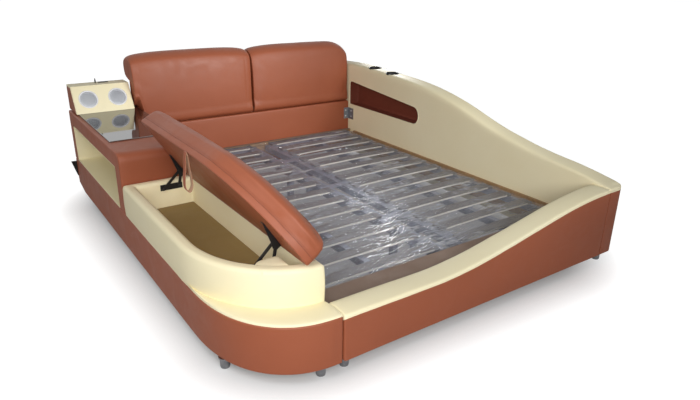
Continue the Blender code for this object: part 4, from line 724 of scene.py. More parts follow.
def smooth_path(points, count, closed=False):
    """A smooth curve of count points through a path."""
    points = np.asarray(points, float)
    if closed:
        points = np.vstack([points[-1], points, points[0], points[1]])
    else:
        points = np.vstack([2 * points[0] - points[1], points, 2 * points[-1] - points[-2]])
    fine = []
    for at in range(1, len(points) - 2):
        a, b, c, d = points[at - 1:at + 3]
        for t in np.linspace(0, 1, 12, endpoint=False):
            fine.append(0.5 * (2 * b + (c - a) * t + (2 * a - 5 * b + 4 * c - d) * t ** 2
                               + (3 * b - a - 3 * c + d) * t ** 3))
    fine.append(points[-2])
    fine = np.array(fine)
    run = np.concatenate([[0], np.cumsum(np.linalg.norm(np.diff(fine, axis=0), axis=1))])
    spots = np.linspace(0, run[-1], count, endpoint=not closed)
    return np.column_stack([np.interp(spots, run, fine[:, axis]) for axis in range(fine.shape[1])])


def lid_turn():
    """Matrix that carries the lid from shut to where it rests open."""
    return Matrix.Translation(LIFT_AXIS) @ Matrix.Rotation(LID_OPEN, 4, "Y") @ Matrix.Translation(-LIFT_AXIS)


# Geometry Nodes


def geometry_tree(name, inputs):
    """An empty geometry tree with named inputs, as (tree, its inputs, its output node)."""
    tree = bpy.data.node_groups.new(name, "GeometryNodeTree")
    tree.interface.new_socket("Geometry", in_out="INPUT", socket_type="NodeSocketGeometry")
    for key, kind in inputs.items():
        tree.interface.new_socket(key, in_out="INPUT", socket_type="NodeSocket" + kind)
    tree.interface.new_socket("Geometry", in_out="OUTPUT", socket_type="NodeSocketGeometry")
    return tree, tree.nodes.new("NodeGroupInput").outputs, tree.nodes.new("NodeGroupOutput")


def end_tree(tree, geometry, given, out):
    """Close a tree with real geometry and its finish."""
    real = node(tree, "GeometryNodeRealizeInstances", {0: geometry}).outputs[0]
    painted = node(tree, "GeometryNodeSetMaterial", {"Geometry": real, "Material": given["Finish"]}).outputs[0]
    tree.links.new(painted, out.inputs[0])
    return tree


def copies_tree():
    """One copy of a piece on each point, turned by the point's own angles."""
    tree, given, out = geometry_tree("copies_on_points", {"Piece": "Object", "Size": "Float", "Finish": "Material"})
    source = node(tree, "GeometryNodeObjectInfo", {"Object": given["Piece"]}).outputs["Geometry"]
    turn = node(tree, "GeometryNodeInputNamedAttribute", {"Name": "turn"}, data_type="FLOAT_VECTOR").outputs[0]
    copies = node(tree, "GeometryNodeInstanceOnPoints", {"Points": given["Geometry"], "Instance": source,
                                                         "Rotation": turn, "Scale": given["Size"]}).outputs[0]
    return end_tree(tree, copies, given, out)


def row_tree():
    """A straight row of like pieces at one pitch, its upper faces in a finish of their own."""
    tree, given, out = geometry_tree("row_of_slats", {"Piece": "Object", "Count": "Int", "Pitch": "Float",
                                                      "Finish": "Material", "Face Finish": "Material"})
    step = node(tree, "ShaderNodeCombineXYZ", {"Y": given["Pitch"]}).outputs[0]
    line = node(tree, "GeometryNodeMeshLine", {"Count": given["Count"], "Offset": step}).outputs[0]
    source = node(tree, "GeometryNodeObjectInfo", {"Object": given["Piece"]}).outputs["Geometry"]
    copies = node(tree, "GeometryNodeInstanceOnPoints", {"Points": line, "Instance": source}).outputs[0]
    real = node(tree, "GeometryNodeRealizeInstances", {0: copies}).outputs[0]
    painted = node(tree, "GeometryNodeSetMaterial", {"Geometry": real, "Material": given["Finish"]}).outputs[0]
    normal = node(tree, "GeometryNodeInputNormal").outputs[0]
    up = node(tree, "ShaderNodeSeparateXYZ", {0: normal}).outputs["Z"]
    facing = node(tree, "FunctionNodeCompare", {"A": up, "B": 0.7}, operation="GREATER_THAN").outputs[0]
    both = node(tree, "GeometryNodeSetMaterial", {"Geometry": painted, "Selection": facing,
                                                  "Material": given["Face Finish"]}).outputs[0]
    tree.links.new(both, out.inputs[0])
    return tree


def welt_tree():
    """A round cord of leather along a path."""
    tree, given, out = geometry_tree("welt_on_path", {"Radius": "Float", "Finish": "Material"})
    path = node(tree, "GeometryNodeMeshToCurve", {"Mesh": given["Geometry"]}).outputs[0]
    ring = node(tree, "GeometryNodeCurvePrimitiveCircle", {"Resolution": 8, "Radius": given["Radius"]}).outputs[0]
    cord = node(tree, "GeometryNodeCurveToMesh", {"Curve": path, "Profile Curve": ring, "Fill Caps": True}).outputs[0]
    return end_tree(tree, cord, given, out)


def stitch_tree():
    """Stitches at one pitch along a path."""
    tree, given, out = geometry_tree("stitches_on_path", {"Piece": "Object", "Pitch": "Float", "Finish": "Material"})
    path = node(tree, "GeometryNodeMeshToCurve", {"Mesh": given["Geometry"]}).outputs[0]
    spots = node(tree, "GeometryNodeResampleCurve", {"Curve": path, "Length": given["Pitch"]}, mode="LENGTH").outputs[0]
    points = node(tree, "GeometryNodeCurveToPoints", {"Curve": spots}, mode="EVALUATED")
    source = node(tree, "GeometryNodeObjectInfo", {"Object": given["Piece"]}).outputs["Geometry"]
    heading = node(tree, "FunctionNodeAlignRotationToVector", {"Vector": points.outputs["Tangent"]},
                   axis="X").outputs[0]
    copies = node(tree, "GeometryNodeInstanceOnPoints", {"Points": points.outputs["Points"], "Instance": source,
                                                         "Rotation": heading}).outputs[0]
    return end_tree(tree, copies, given, out)


TREES = {"copies_on_points": copies_tree, "row_of_slats": row_tree, "welt_on_path": welt_tree,
         "stitches_on_path": stitch_tree}


def grow(obj, tree_name, **values):
    """Run one of the trees on an object and keep the result as its mesh."""
    tree = bpy.data.node_groups.get(tree_name) or TREES[tree_name]()
    step = obj.modifiers.new(tree_name, "NODES")
    step.node_group = tree
    wanted = {key.replace("_", " ").title(): value for key, value in values.items()}
    for socket in tree.interface.items_tree:
        if socket.in_out == "INPUT" and socket.name in wanted:
            step[socket.identifier] = wanted[socket.name]
    settle(obj)
    return used_finishes(obj)


def used_finishes(obj):
    """Leave only the finishes that an object's faces use."""
    mesh = obj.data
    indices = np.zeros(len(mesh.polygons), np.int32)
    mesh.polygons.foreach_get("material_index", indices)
    used = sorted(set(indices.tolist()))
    kept = [mesh.materials[index] for index in used]
    mesh.materials.clear()
    for material in kept:
        mesh.materials.append(material)
    mesh.polygons.foreach_set("material_index", np.searchsorted(used, indices).astype(np.int32))
    return obj


def bare_object(name, points, edges=()):
    """An object of bare points, and of edges where there are any."""
    mesh = bpy.data.meshes.new(name)
    mesh.from_pydata([tuple(p) for p in points], list(edges), [])
    return linked(name, mesh)


def path_object(name, points, closed=False):
    """A bare path of points and edges."""
    count = len(points)
    return bare_object(name, points, [(i, (i + 1) % count) for i in range(count if closed else count - 1)])


def copies(name, piece, spots, turns, material):
    """One object of a piece's copies, each on its spot and turned by its own angles."""
    points = bare_object(name, spots)
    held = points.data.attributes.new("turn", "FLOAT_VECTOR", "POINT")
    held.data.foreach_set("vector", np.array(turns, np.float32).ravel())
    return grow(points, "copies_on_points", piece=piece, size=1.0, finish=material)


def welt(name, points, radius, material, body="bed", closed=False):
    """A round cord of leather along a path, as a piece."""
    made = grow(path_object(name, points, closed), "welt_on_path", radius=radius, finish=material)
    return place(made, None, body)


def sewn_line(name, skin, points, radius, material, body="bed", closed=False):
    """A sewn seam that lies on a skin, along the points nearest to a path."""
    path = []
    for spot in points:
        _, near, normal, _ = skin.closest_point_on_mesh(Vector(spot))
        path.append(near + normal * radius * 0.1)
    return welt(name, path, radius, material, body, closed)


def stitches(name, points, material, body="bed", closed=False):
    """A line of stitches, each a short spindle."""
    length, thick = 0.62 * sizes().stitch_pitch, 0.0007
    loops = [[(x * length / 2, r * thick * math.cos(a), r * thick * math.sin(a))
              for a in np.linspace(0, 2 * math.pi, 5, endpoint=False)]
             for x, r in ((-1, 0.4), (-0.6, 1), (0.6, 1), (1, 0.4))]
    source = loose("stitch", [loft(loops)])
    made = grow(path_object(name, points, closed), "stitches_on_path", piece=source, pitch=sizes().stitch_pitch,
                finish=material)
    drop(source)
    return place(made, None, body)


def turn_mesh(obj, matrix):
    """Carry an object's points by a matrix."""
    obj.data.transform(matrix)
    return obj


# Outlines of the left unit


def superellipse(left, foot, right, corner, power, inset, count, first=0.0):
    """The large foot-left corner, from the bed side round to the left side."""
    half_x, half_y = right - left - inset, corner - inset
    turns = np.linspace(first, math.pi / 2, count)
    across = np.maximum(0, np.sin(turns)) ** (2 / power)
    up = np.maximum(0, np.cos(turns)) ** (2 / power)
    return np.column_stack([right - half_x * across, foot + corner - half_y * up])


def closed_outline(left, foot, right, head, corner, power, inset, nook=0.010):
    """Closed outline of the storage box or the lid, its small corners rounded by nook."""
    small = max(0.004, nook - inset) if inset < nook else 0.006
    left_in, right_in, head_in, foot_in = left + inset, right - inset, head - inset, foot + inset
    half_x = right - left - inset
    first = math.asin(min(1.0, ((inset + small) / half_x)) ** (power / 2))
    big = superellipse(left, foot, right, corner, power, inset, 40, first)
    points = arc((right_in - small, foot_in + small), small, 0, -math.pi / 2, 5)
    points += [tuple(p) for p in big[1:]]
    points += [(left_in, y) for y in np.linspace(foot + corner, head_in - small, 18)[1:-1]]
    points += arc((left_in + small, head_in - small), small, math.pi, math.pi / 2, 5)
    points += [(x, head_in) for x in np.linspace(left_in + small, right_in - small, 8)[1:-1]]
    points += arc((right_in - small, head_in - small), small, math.pi / 2, 0, 5)
    points += [(right_in, y) for y in np.linspace(head_in - small, foot_in + small, 26)[1:-1]]
    return np.array(points)


def box_outline(inset=0.0):
    """Closed outline of the storage box, drawn in by inset."""
    return closed_outline(X_SIDE, BOX_FOOT, X_BED, CABINET_FOOT - GAP, BOX_CORNER, BOX_POWER, inset)


def lid_outline(inset=0.0):
    """Closed outline of the lid, drawn in by inset."""
    return closed_outline(LID_LEFT, LID_FOOT, LID_RIGHT, LID_HEAD, LID_CORNER, BOX_POWER, inset, 0.026)


# Pieces


def build_plinth():
    """Leather skirt round the left unit, the panel across its back, and the boards inside."""
    s = sizes()
    roll, height = s.edge_roll * 0.75, SKIRT_HIGH - SKIRT_LOW
    section = fillet([(0, SKIRT_LOW, 0.004, 12), (0, SKIRT_HIGH, roll, 2), (SKIRT_THICK, SKIRT_HIGH, 0.003, 6),
                      (SKIRT_THICK, SKIRT_LOW, 0.003, 2)])
    share = np.clip((section[:, 1] - SKIRT_LOW) / height, 0, 1)
    section[:, 0] -= np.where(section[:, 0] < SKIRT_THICK / 2, s.panel_crown * 0.5 * np.sin(share * math.pi), 0)
    ends = stations(0.0015, 0.03, 3, 0.008, 0.0)
    loops = []
    for offset, inset in ends:
        loop = []
        for d, z in section:
            d, z = min(max(d, inset), SKIRT_THICK - inset), min(max(z, SKIRT_LOW + inset), SKIRT_HIGH - inset)
            half_x, half_y = X_BED - X_SIDE - d, PLINTH_CORNER - d
            rise = (1 - (offset / half_x) ** PLINTH_POWER) ** (1 / PLINTH_POWER)
            loop.append((X_BED - offset, Y_FOOT + PLINTH_CORNER - half_y * rise, z))
        loops.append(loop)
    outlines = []
    for d, z in section:
        half_x = X_BED - X_SIDE - d
        first = math.asin((0.035 / half_x) ** (PLINTH_POWER / 2))
        corner = superellipse(X_SIDE, Y_FOOT, X_BED, PLINTH_CORNER, PLINTH_POWER, d, 56, first)
        side = [(X_SIDE + d, y) for y in np.linspace(Y_FOOT + PLINTH_CORNER, Y_BACK - REAR_BEVEL_RUN, 26)[1:]]
        side += [(X_SIDE + d, y) for y in np.linspace(Y_BACK - REAR_BEVEL_RUN, Y_BACK - 0.003, 7)[1:]]
        outline = [tuple(p) for p in corner] + side
        rises = [REAR_BEVEL_RISE * max(0.0, y - Y_BACK + REAR_BEVEL_RUN) / REAR_BEVEL_RUN for _, y in outline]
        outlines.append([(x, y, z + rise * (SKIRT_HIGH - z) / height) for (x, y), rise in zip(outline, rises)])
    loops += [[row[at] for row in outlines] for at in range(len(outlines[0]))]
    skirt = rumple(loose("plinth_skirt", [loft(loops)]), s.fold_depth * 0.5, 0.22, 1)
    place(skirt, brown_leather(), replaces=("plinth_corner_panel", "plinth_side_panel"))
    rear = block((X_SIDE + SKIRT_THICK + GAP, Y_BACK - SKIRT_THICK, SKIRT_LOW + REAR_BEVEL_RISE),
                 (X_BED, Y_BACK, SKIRT_HIGH), 0.004)
    place(loose("plinth_back", [rear]), brown_leather(), replaces=("plinth_rear_panel",))
    for name in ("plinth_inner_panel", "plinth_bottom_board", "plinth_deck"):
        dress(name, bare_board())


def dress(name, material):
    """Give a packed node its finish."""
    made = frame["nodes"][name]
    made.data.materials.clear()
    made.data.materials.append(material)


def build_ledge():
    """Padded crescent on the deck's foot end."""
    low, top = SKIRT_HIGH + GAP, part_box("ledge_pad")[1].z
    outer = superellipse(X_SIDE, Y_FOOT, X_BED, PLINTH_CORNER, PLINTH_POWER, 0.003, 60,
                         math.asin(0.003 / (X_BED - X_SIDE)) ** (PLINTH_POWER / 2))
    inner = superellipse(X_SIDE, BOX_FOOT, X_BED, BOX_CORNER, BOX_POWER, -GAP, 60, 0.004)
    loops = []
    for near, far in zip(outer, inner):
        wide = np.linalg.norm(far - near)
        if wide < 0.006:
            continue
        loop = [(near, low), (far, low)]
        profile = ((1.0, 0.6), (0.85, 0.95), (0.6, 1.3), (0.3, 1.35))
        loop += [(near + (far - near) * a, low + (top - low) * b) for a, b in profile]
        lip = min(0.009, wide / 4) / wide
        loop += [(near + (far - near) * lip * a, low + (top - low) * b) for a, b in ((1, 1.2), (0.4, 1.0), (0.05, 0.6))]
        sink = 0.006 * max(0.0, 1 - (X_BED - near[0]) / 0.010) ** 2
        loops.append([(min(p[0], X_BED - 0.0018), p[1], z - (sink if z > low + 0.002 else 0)) for p, z in loop])
    place(loose("ledge_cushion", [loft(loops)]), cream_leather(), replaces=("ledge_pad",), fill=0.9)


def build_storage_box():
    """Padded wall ring with a rolled rim, its floor and the block that carries the lift."""
    s = sizes()
    low, roll = SKIRT_HIGH + GAP, s.rim_roll
    section = []
    for share in np.linspace(0, 1, 9):
        section.append((-0.0022 * math.sin(share * math.pi), low + (RIM_Z - roll - low) * share))
    section += arc((roll, RIM_Z - roll), roll, math.pi, math.pi / 2, 7)[1:] + [(BOX_WALL / 2, RIM_Z)]
    section += arc((BOX_WALL - roll, RIM_Z - roll), roll, math.pi / 2, 0, 7)
    for share in np.linspace(1, 0, 6)[1:]:
        section.append((BOX_WALL, low + (RIM_Z - roll - low) * share))
    loops = [[(x, y, z) for x, y in box_outline(inset)] for inset, z in section]
    ring = rumple(loose("box_walls", [loft(loops, ring=True)]), s.fold_depth, 0.16, 2, (1, 1, 0.6))
    for vert in ring.data.vertices:
        vert.co.z = min(vert.co.z, RIM_Z)
    place(ring, cream_leather(), replaces=("storage_box",), fill=0.9, sharp=60)
    dress("storage_floor", floor_felt())
    low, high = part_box("lift_cleat")
    outline = fillet([(low.x, low.y, 0.003, 0), (high.x, low.y, 0.003, 0), (high.x, high.y, 0.012, 0),
                      (low.x, high.y, 0.045, 0)], 9)
    loops = [[(x, y, z) for x, y in drawn_in(outline, inset)] for inset, z in
             ((0.0, low.z), (0.0, high.z - 0.010), (0.0012, high.z - 0.005), (0.004, high.z - 0.0015), (0.009, high.z),
              (0.022, high.z + 0.0022))]
    place(loose("cleat_cover", [loft(loops)]), cream_leather(), replaces=("lift_cleat",), sharp=60)


def lid_pad_rings(inset):
    """Rings of the shut lid's cushion, from under its edge, up its side and in over its crown."""
    loops = [(0.012, LID_SEAM + GAP), (0.006, LID_SEAM + GAP), (0.0034, LID_SEAM - 0.0004), (0.0030, LID_LOW + 0.0030),
             (0.0014, LID_LOW + 0.0014), (0.0004, LID_LOW + 0.0032)]
    for share, height in ((-0.25, 0.0), (-0.6, 0.10), (-0.88, 0.20), (-1.0, 0.30),
                          (-0.97, 0.40), (-0.75, 0.50), (-0.4, 0.59)):
        loops.append((0.004 * share + inset * min(1, 0.3 + height * 3), LID_SEAM + GAP + LID_RISE * height))
    for share, height in ((-0.02, 0.67), (0.005, 0.73), (0.035, 0.80), (0.08, 0.865), (0.14, 0.92), (0.23, 0.965),
                          (0.36, 1.0), (0.55, 1.03), (0.80, 1.05)):
        loops.append((0.120 * share + inset, LID_SEAM + LID_RISE * height - inset * height))
    rings = [[(x, y, z) for x, y in lid_outline(d)] for d, z in loops]
    last = np.array(rings[-1])
    middle = last.mean(0)
    for share, lift in ((0.86, 0.003), (0.7, 0.006), (0.55, 0.008), (0.4, 0.0095), (0.25, 0.0105), (0.12, 0.0110),
                        (0.0, 0.0112)):
        rings.append([(middle[0] + (p[0] - middle[0]) * share, middle[1] + (p[1] - middle[1]) * share, p[2] + lift)
                      for p in last])
    return rings


def build_lid():
    """Crowned cushion on its board, with a welt round the seam; all modelled shut and then turned open."""
    s, turn = sizes(), lid_turn()
    cushion = loose("lid_pad", [loft(lid_pad_rings(s.swell * 0.8))])
    swell(cushion, s.swell, lambda spot: spot[2] < LID_SEAM + 0.004)
    rumple(cushion, s.fold_depth, 0.14, 3)
    seam_y = LID_FOOT + 0.275
    across = smooth_path([(LID_RIGHT + 0.004, seam_y, LID_SEAM + 0.050), (LID_RIGHT - 0.004, seam_y, LID_SEAM + 0.075),
                          (LID_RIGHT - 0.030, seam_y + 0.004, LID_SEAM + 0.098),
                          (LID_RIGHT - 0.075, seam_y + 0.010, LID_SEAM + 0.110)], 30)
    carve(cushion, across, 0.012, 0.003)
    dark = thread((0.150, 0.040, 0.020), "seam_brown_thread")
    round_lid = [(x, y, LID_LOW + 0.026) for x, y in lid_outline(-0.003)]
    carve(cushion, round_lid, 0.008, 0.0008)
    for name, path, radius, closed in (("lid_seam", across, 0.0015, False), ("lid_welt", round_lid, 0.0008, True)):
        sewn_line(name, cushion, path, radius, dark, "lid", closed).data.transform(turn)
    line = [(x, y, LID_LOW + 0.031) for x, y in lid_outline(-0.0044)]
    sewn = stitches("lid_stitches", line, thread((0.30, 0.09, 0.05), "brown_thread"), "lid", closed=True)
    sewn.data.transform(turn)
    place(turn_mesh(cushion, turn), brown_leather(), "lid", ("lid_cushion",), fill=0.8, sharp=70)
    rings = [[(x, y, z) for x, y in lid_outline(d)] for d, z in
             ((0.010, LID_LOW), (0.0052, LID_LOW + 0.0006), (0.0040, LID_LOW + 0.0022), (0.0040, LID_SEAM - 0.002),
              (0.006, LID_SEAM))]
    board = rumple(loose("lid_underside", [loft(rings)]), 0.0002, 0.2, 4)
    place(turn_mesh(board, turn), brown_leather(), "lid", ("lid_board",))


def build_lift():
    """Black lift plates and arms, with rivet heads on their pivots."""
    for end in ("foot", "head"):
        for part in ("base_plate", "long_arm", "short_arm", "top_plate"):
            dress("lift_" + part + "_" + end, black_paint())
    source = loose("rivet", [turned([(0, 0), (0.0058, 0), (0.0056, 0.0012), (0.0035, 0.0024), (0, 0.0028)], 16)])
    for arm in ("long_arm", "short_arm"):
        joint = next(each for each in frame["joints"] if each["name"] == arm + "_swing")
        spots, turns = [], []
        for end, side in (("foot", 1), ("head", -1)):
            low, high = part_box("lift_" + arm + "_" + end)
            spots.append((joint["pos_m"][0], high.y if side > 0 else low.y, joint["pos_m"][2]))
            turns.append((-side * math.pi / 2, 0, 0))
        place(copies(arm + "s_rivets", source, spots, turns, black_paint()), None, arm + "s")
    drop(source)


def build_strap():
    """Folded leather loop that hangs from the lid's edge, pale inside."""
    low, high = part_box("lid_pull_strap")
    x, y, top = (low.x + high.x) / 2, (low.y + high.y) / 2, high.z
    length, wide = high.z - low.z, (high.y - low.y) / 2
    half = (high.x - low.x) / 2 + 0.0075
    path = smooth_path([(0.0006, 0.0), (half * 0.28, -0.10 * length), (half * 0.5, -0.34 * length),
                        (half * 0.90, -0.66 * length), (half * 0.95, -0.86 * length), (half * 0.40, -0.985 * length),
                        (-half * 0.3, -0.985 * length), (-half * 0.95, -0.86 * length), (-half * 0.90, -0.66 * length),
                        (-half * 0.5, -0.34 * length), (-half * 0.28, -0.10 * length), (-0.0006, 0.0)], 60)
    edge_on = fillet([(-wide, -0.0006, 0.0004, 3), (wide, -0.0006, 0.0004, 0), (wide, 0.0006, 0.0004, 3),
                      (-wide, 0.0006, 0.0004, 0)], 2)
    for name, lift, material in (("strap_outside", 0.0004, brown_leather()), ("strap_inside", -0.0008, strap_pale())):
        loops = []
        for at, (across, up) in enumerate(path):
            ahead = path[min(at + 1, len(path) - 1)] - path[max(at - 1, 0)]
            out = np.array((-ahead[1], ahead[0])) / np.linalg.norm(ahead)
            loop = []
            for edge, push in edge_on:
                spot = np.array((across, up)) + out * (push + lift)
                loop.append((x + spot[0], y + edge, top + spot[1]))
            loops.append(loop)
        place(loose(name, [loft(loops)]), material, "strap", ("lid_pull_strap",) if name == "strap_outside" else ())


def open_box(name, low, high, wall=0.004, corner=0.010):
    """A thin lining between two corners, open to the left, its inner edges rounded."""
    lining = bmesh.new()
    bmesh.ops.create_cube(lining, size=1.0)
    size = high - low
    shrunk = Matrix.Diagonal((size.x - 0.003, size.y - 0.014, size.z - 0.010, 1))
    bmesh.ops.transform(lining, verts=lining.verts, matrix=Matrix.Translation((low + high) / 2) @ shrunk)
    open_face = [f for f in lining.faces if f.normal.x < -0.9]
    bmesh.ops.delete(lining, geom=open_face, context="FACES_ONLY")
    inner_edges = [e for e in lining.edges if len(e.link_faces) == 2]
    bmesh.ops.bevel(lining, geom=inner_edges, offset=corner, segments=5, affect="EDGES", profile=0.5)
    mesh = bpy.data.meshes.new(name)
    lining.to_mesh(mesh)
    lining.free()
    made = linked(name, mesh)
    thick = made.modifiers.new("thick", "SOLIDIFY")
    thick.thickness, thick.offset = wall, 1.0
    return settle(made)


def build_cabinet():
    """Padded cabinet with a rolled front, its lined shelf and the black glass on top."""
    s = sizes()
    low = SKIRT_HIGH + GAP
    corners = [(CABINET_FOOT, low, 0.003, 5), (CABINET_FOOT, CABINET_TOP, 0.045, 14), (Y_BACK, CABINET_TOP, 0.006, 4),
               (Y_BACK, low, 0.003, 14)]
    outline = fillet(corners, 9)
    lift = np.clip((outline[:, 0] - CABINET_FOOT) / 0.4, 0, 1)
    outline[:, 1] += np.where(outline[:, 1] > CABINET_TOP - 0.001, s.panel_crown * 0.6 * np.sin(lift * math.pi), 0)
    body = loose("cabinet_cover", [along_x(lambda x: outline, stations(X_SIDE, X_BED, 14, s.edge_roll, 0.006))])
    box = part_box("shelf_liner")
    rumple(body, s.fold_depth, 0.15, 5)
    hole = block((X_SIDE - 0.03, box[0].y - GAP, low - 0.03), (box[1].x + GAP, box[1].y + GAP, box[1].z + GAP), 0.010)
    cut_out(body, loose("shelf_hole", [hole]))
    place(body, brown_leather(), replaces=("cabinet_body",), fill=0.95)
    place(open_box("shelf_lining", *box), cream_leather(), replaces=("shelf_liner",), fill=1.0)
    pane = block(*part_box("glass_top"), 0.0015, 1)
    place(loose("glass_pane", [pane]), black_glass(), replaces=("glass_top",), flat=True)


def build_driver(side, matrix):
    """One driver of the speaker box: its ring, its domed mesh and the rows of holes in that."""
    ring = turned([(0.0445, -0.009), (0.0449, 0.0), (0.0520, 0.0003), (0.0525, 0.0022), (0.0510, 0.0046),
                   (0.0480, 0.0050), (0.0450, 0.0038), (0.0435, 0.0), (0.0430, -0.009)], 48)
    trim = turn_mesh(loose("driver_ring_" + side, [ring]), matrix)
    place(trim, silver_ring(), replaces=("speaker_driver_" + side,), sharp=60)
    dome = list(zip(DOME_REACH, DOME_HEIGHT))
    dish = turned([(0, -0.0115), (DOME_REACH[-1], -0.0115)] + dome[::-1], 40)
    place(turn_mesh(loose("driver_mesh_" + side, [dish]), matrix), grille(), sharp=60)
    dots = []
    for row in range(-9, 10):
        for column in range(-9, 10):
            x, y = (column + row % 2 / 2) * DOT_STEP, row * DOT_ROW
            far_out = math.hypot(x, y)
            if far_out < DOT_REACH:
                dots.append((x, y, np.interp(far_out, DOME_REACH, DOME_HEIGHT) + 0.0001))
    dot = loose("dot", [turned([(0, -0.0006), (0.00115, -0.0006), (0.00115, 0.00015), (0, 0.00015)], 6)])
    holes = copies("driver_holes_" + side, dot, dots, [(0, 0, 0)] * len(dots), black_moulding())
    drop(dot)
    place(turn_mesh(holes, matrix), None)


def build_dock():
    """Long round-ended docking plate and the pin that stands in it."""
    low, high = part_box("dock_plate")
    middle = (low + high) / 2
    reach, radius = (high.x - low.x) / 2, (high.y - low.y) / 2
    loops = []
    for inset, z in ((0, low.z), (0, high.z - 0.0006), (0.0008, high.z), (0.004, high.z), (0.005, high.z - 0.0008)):
        spots = []
        for turn in np.linspace(0, 2 * math.pi, 40, endpoint=False):
            push = reach - radius if math.cos(turn) >= 0 else radius - reach
            spots.append((middle.x + push + (radius - inset) * math.cos(turn),
                          middle.y + (radius - inset) * math.sin(turn), z))
        loops.append(spots)
    place(loose("dock_dish", [loft(loops)]), black_moulding(), replaces=("dock_plate",))
    low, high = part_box("dock_pin")
    tall, middle = high.z - low.z, (low + high) / 2
    pin = turned([(0, 0), (0.004, 0), (0.004, tall * 0.7), (0.0026, tall * 0.72), (0.0026, tall * 0.96), (0.002, tall),
                  (0, tall)], 20, (middle.x, middle.y, low.z))
    place(loose("dock_post", [pin]), black_moulding(), replaces=("dock_pin",))


def build_speaker_box():
    """Low box with a padded leaning face, two meshed drivers, a grey top and the dock."""
    body_low, body_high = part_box("speaker_body")
    face_low, face_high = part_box("speaker_front")
    foot, low = face_low.y, face_low.z
    lean, rise = math.atan2(FACE_RUN, FACE_RISE), math.hypot(FACE_RUN, FACE_RISE)
    front = fillet([(0.0, 0.0, 0.002, 3), (0.0, rise - 0.002, 0.008, 2), (0.0105, rise - 0.006, 0.003, 3),
                    (0.0105, 0.006, 0.002, 1)])
    pad = loose("speaker_face", [along_x(lambda x: front, stations(face_low.x, face_high.x, 12, 0.006, 0.006))])
    turn_mesh(pad, Matrix.Translation((0, foot, low)) @ Matrix.Rotation(-lean, 4, "X"))
    cutters = []
    for side in ("left", "right"):
        near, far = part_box("speaker_driver_" + side)
        middle = Vector(((near.x + far.x) / 2, foot + FACE_RUN / 2, low + FACE_RISE / 2))
        matrix = Matrix.Translation(middle) @ Matrix.Rotation(math.pi / 2 - lean, 4, "X")
        hole = loose("driver_hole", [turned([(0, -0.03), (DRIVER_HOLE, -0.03), (DRIVER_HOLE, 0.03), (0, 0.03)], 40)])
        cutters.append(turn_mesh(hole, matrix))
        build_driver(side, matrix)
    cut_out(pad, *cutters)
    place(pad, cream_leather(), replaces=("speaker_front",), fill=1.0)
    back = Y_BACK - 0.010
    side_view = fillet([(body_low.y + 0.0005, low, 0.002, 4), (back, low, 0.004, 4), (back, body_high.z, 0.004, 4),
                        (body_low.y + 0.0745, body_high.z, 0.001, 4)])
    shell = along_x(lambda x: side_view, stations(body_low.x, body_high.x, 10, 0.004, 0.004))
    place(loose("speaker_shell", [shell]), brown_leather(), replaces=("speaker_body",), fill=1.0, flat=True)
    top_low, top_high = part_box("speaker_top")
    lid = block((top_low.x, top_low.y + 0.004, top_low.z), top_high, 0.0045, 2)
    place(loose("speaker_lid", [lid]), cream_leather(), replaces=("speaker_top",), fill=1.0, flat=True)
    build_dock()


def rail_top(x):
    """Height of the foot rail's top, swept up to the wing on the right."""
    share = (x - X_BED) / (X_WING - X_BED)
    return SKIRT_HIGH + (0.379 - SKIRT_HIGH) * smooth_step((share - 0.267) / (1 - 0.267))


def build_foot_rail():
    """Swept foot rail: brown front under a cream cap that rolls over its top and inner side."""
    s = sizes()
    inner = Y_BED - 0.022

    def front(x):
        return fillet([(Y_FOOT, SKIRT_LOW, 0.004, 8), (Y_FOOT, rail_top(x) - 0.0143, 0.003, 3),
                       (inner - GAP, rail_top(x) - 0.0143, 0.003, 6), (inner - GAP, SKIRT_LOW, 0.003, 3)])

    def cap(x):
        top = rail_top(x)
        points = fillet([(Y_FOOT - 0.0008, top - 0.0138, 0.002, 0), (Y_FOOT - 0.0008, top + 0.001, 0.012, 10),
                         (Y_BED, top + 0.001, 0.020, 8), (Y_BED, 0.100, 0.003, 2), (inner, 0.100, 0.003, 6),
                         (inner, top - 0.014, 0.002, 4)], 6)
        share = np.clip((points[:, 0] - Y_FOOT) / (Y_BED - Y_FOOT), 0, 1)
        points[:, 1] += np.where(points[:, 1] > top - 0.002, 0.004 * np.sin(share * math.pi), 0)
        return points

    places = stations(X_BED + 0.0028, X_WING - 0.0015, 60, 0.009, 0.003)
    panel = rumple(loose("rail_front", [along_x(front, places)]), s.fold_depth * 0.6, 0.25, 6)
    place(panel, brown_leather(), replaces=("foot_rail_panel",), fill=0.95)
    cover = rumple(loose("rail_cap", [along_x(cap, places)]), s.fold_depth, 0.16, 7)
    place(cover, cream_leather(), replaces=("foot_rail_cap",), fill=0.9)


def wing_crest(y):
    """Height of the wing's crest at y."""
    share = (y - Y_FOOT) / LENGTH
    table = np.array(WING_CREST)
    at = int(np.clip(np.searchsorted(table[:, 0], share) - 1, 0, len(table) - 2))
    here, after = table[at], table[at + 1]
    before, beyond = table[max(0, at - 1)], table[min(len(table) - 1, at + 2)]
    span = after[0] - here[0]
    local = float(np.clip((share - here[0]) / span, 0, 1))
    slope_in = (after[1] - before[1]) / (after[0] - before[0]) * span
    slope_out = (beyond[1] - here[1]) / (beyond[0] - here[0]) * span
    square, cube = local ** 2, local ** 3
    height = ((2 * cube - 3 * square + 1) * here[1] + (cube - 2 * square + local) * slope_in
              + (3 * square - 2 * cube) * after[1] + (cube - square) * slope_out)
    return WING_FOOT_Z + (WING_HEAD_Z - WING_FOOT_Z) * height


def wing_reach(y):
    """Distance of the wing's outer face from its inner face."""
    short = max(0.0, WING_END_ROUND - (y - Y_FOOT))
    return X_OUT - X_WING - WING_END_ROUND + math.sqrt(max(0.0, WING_END_ROUND ** 2 - short ** 2))


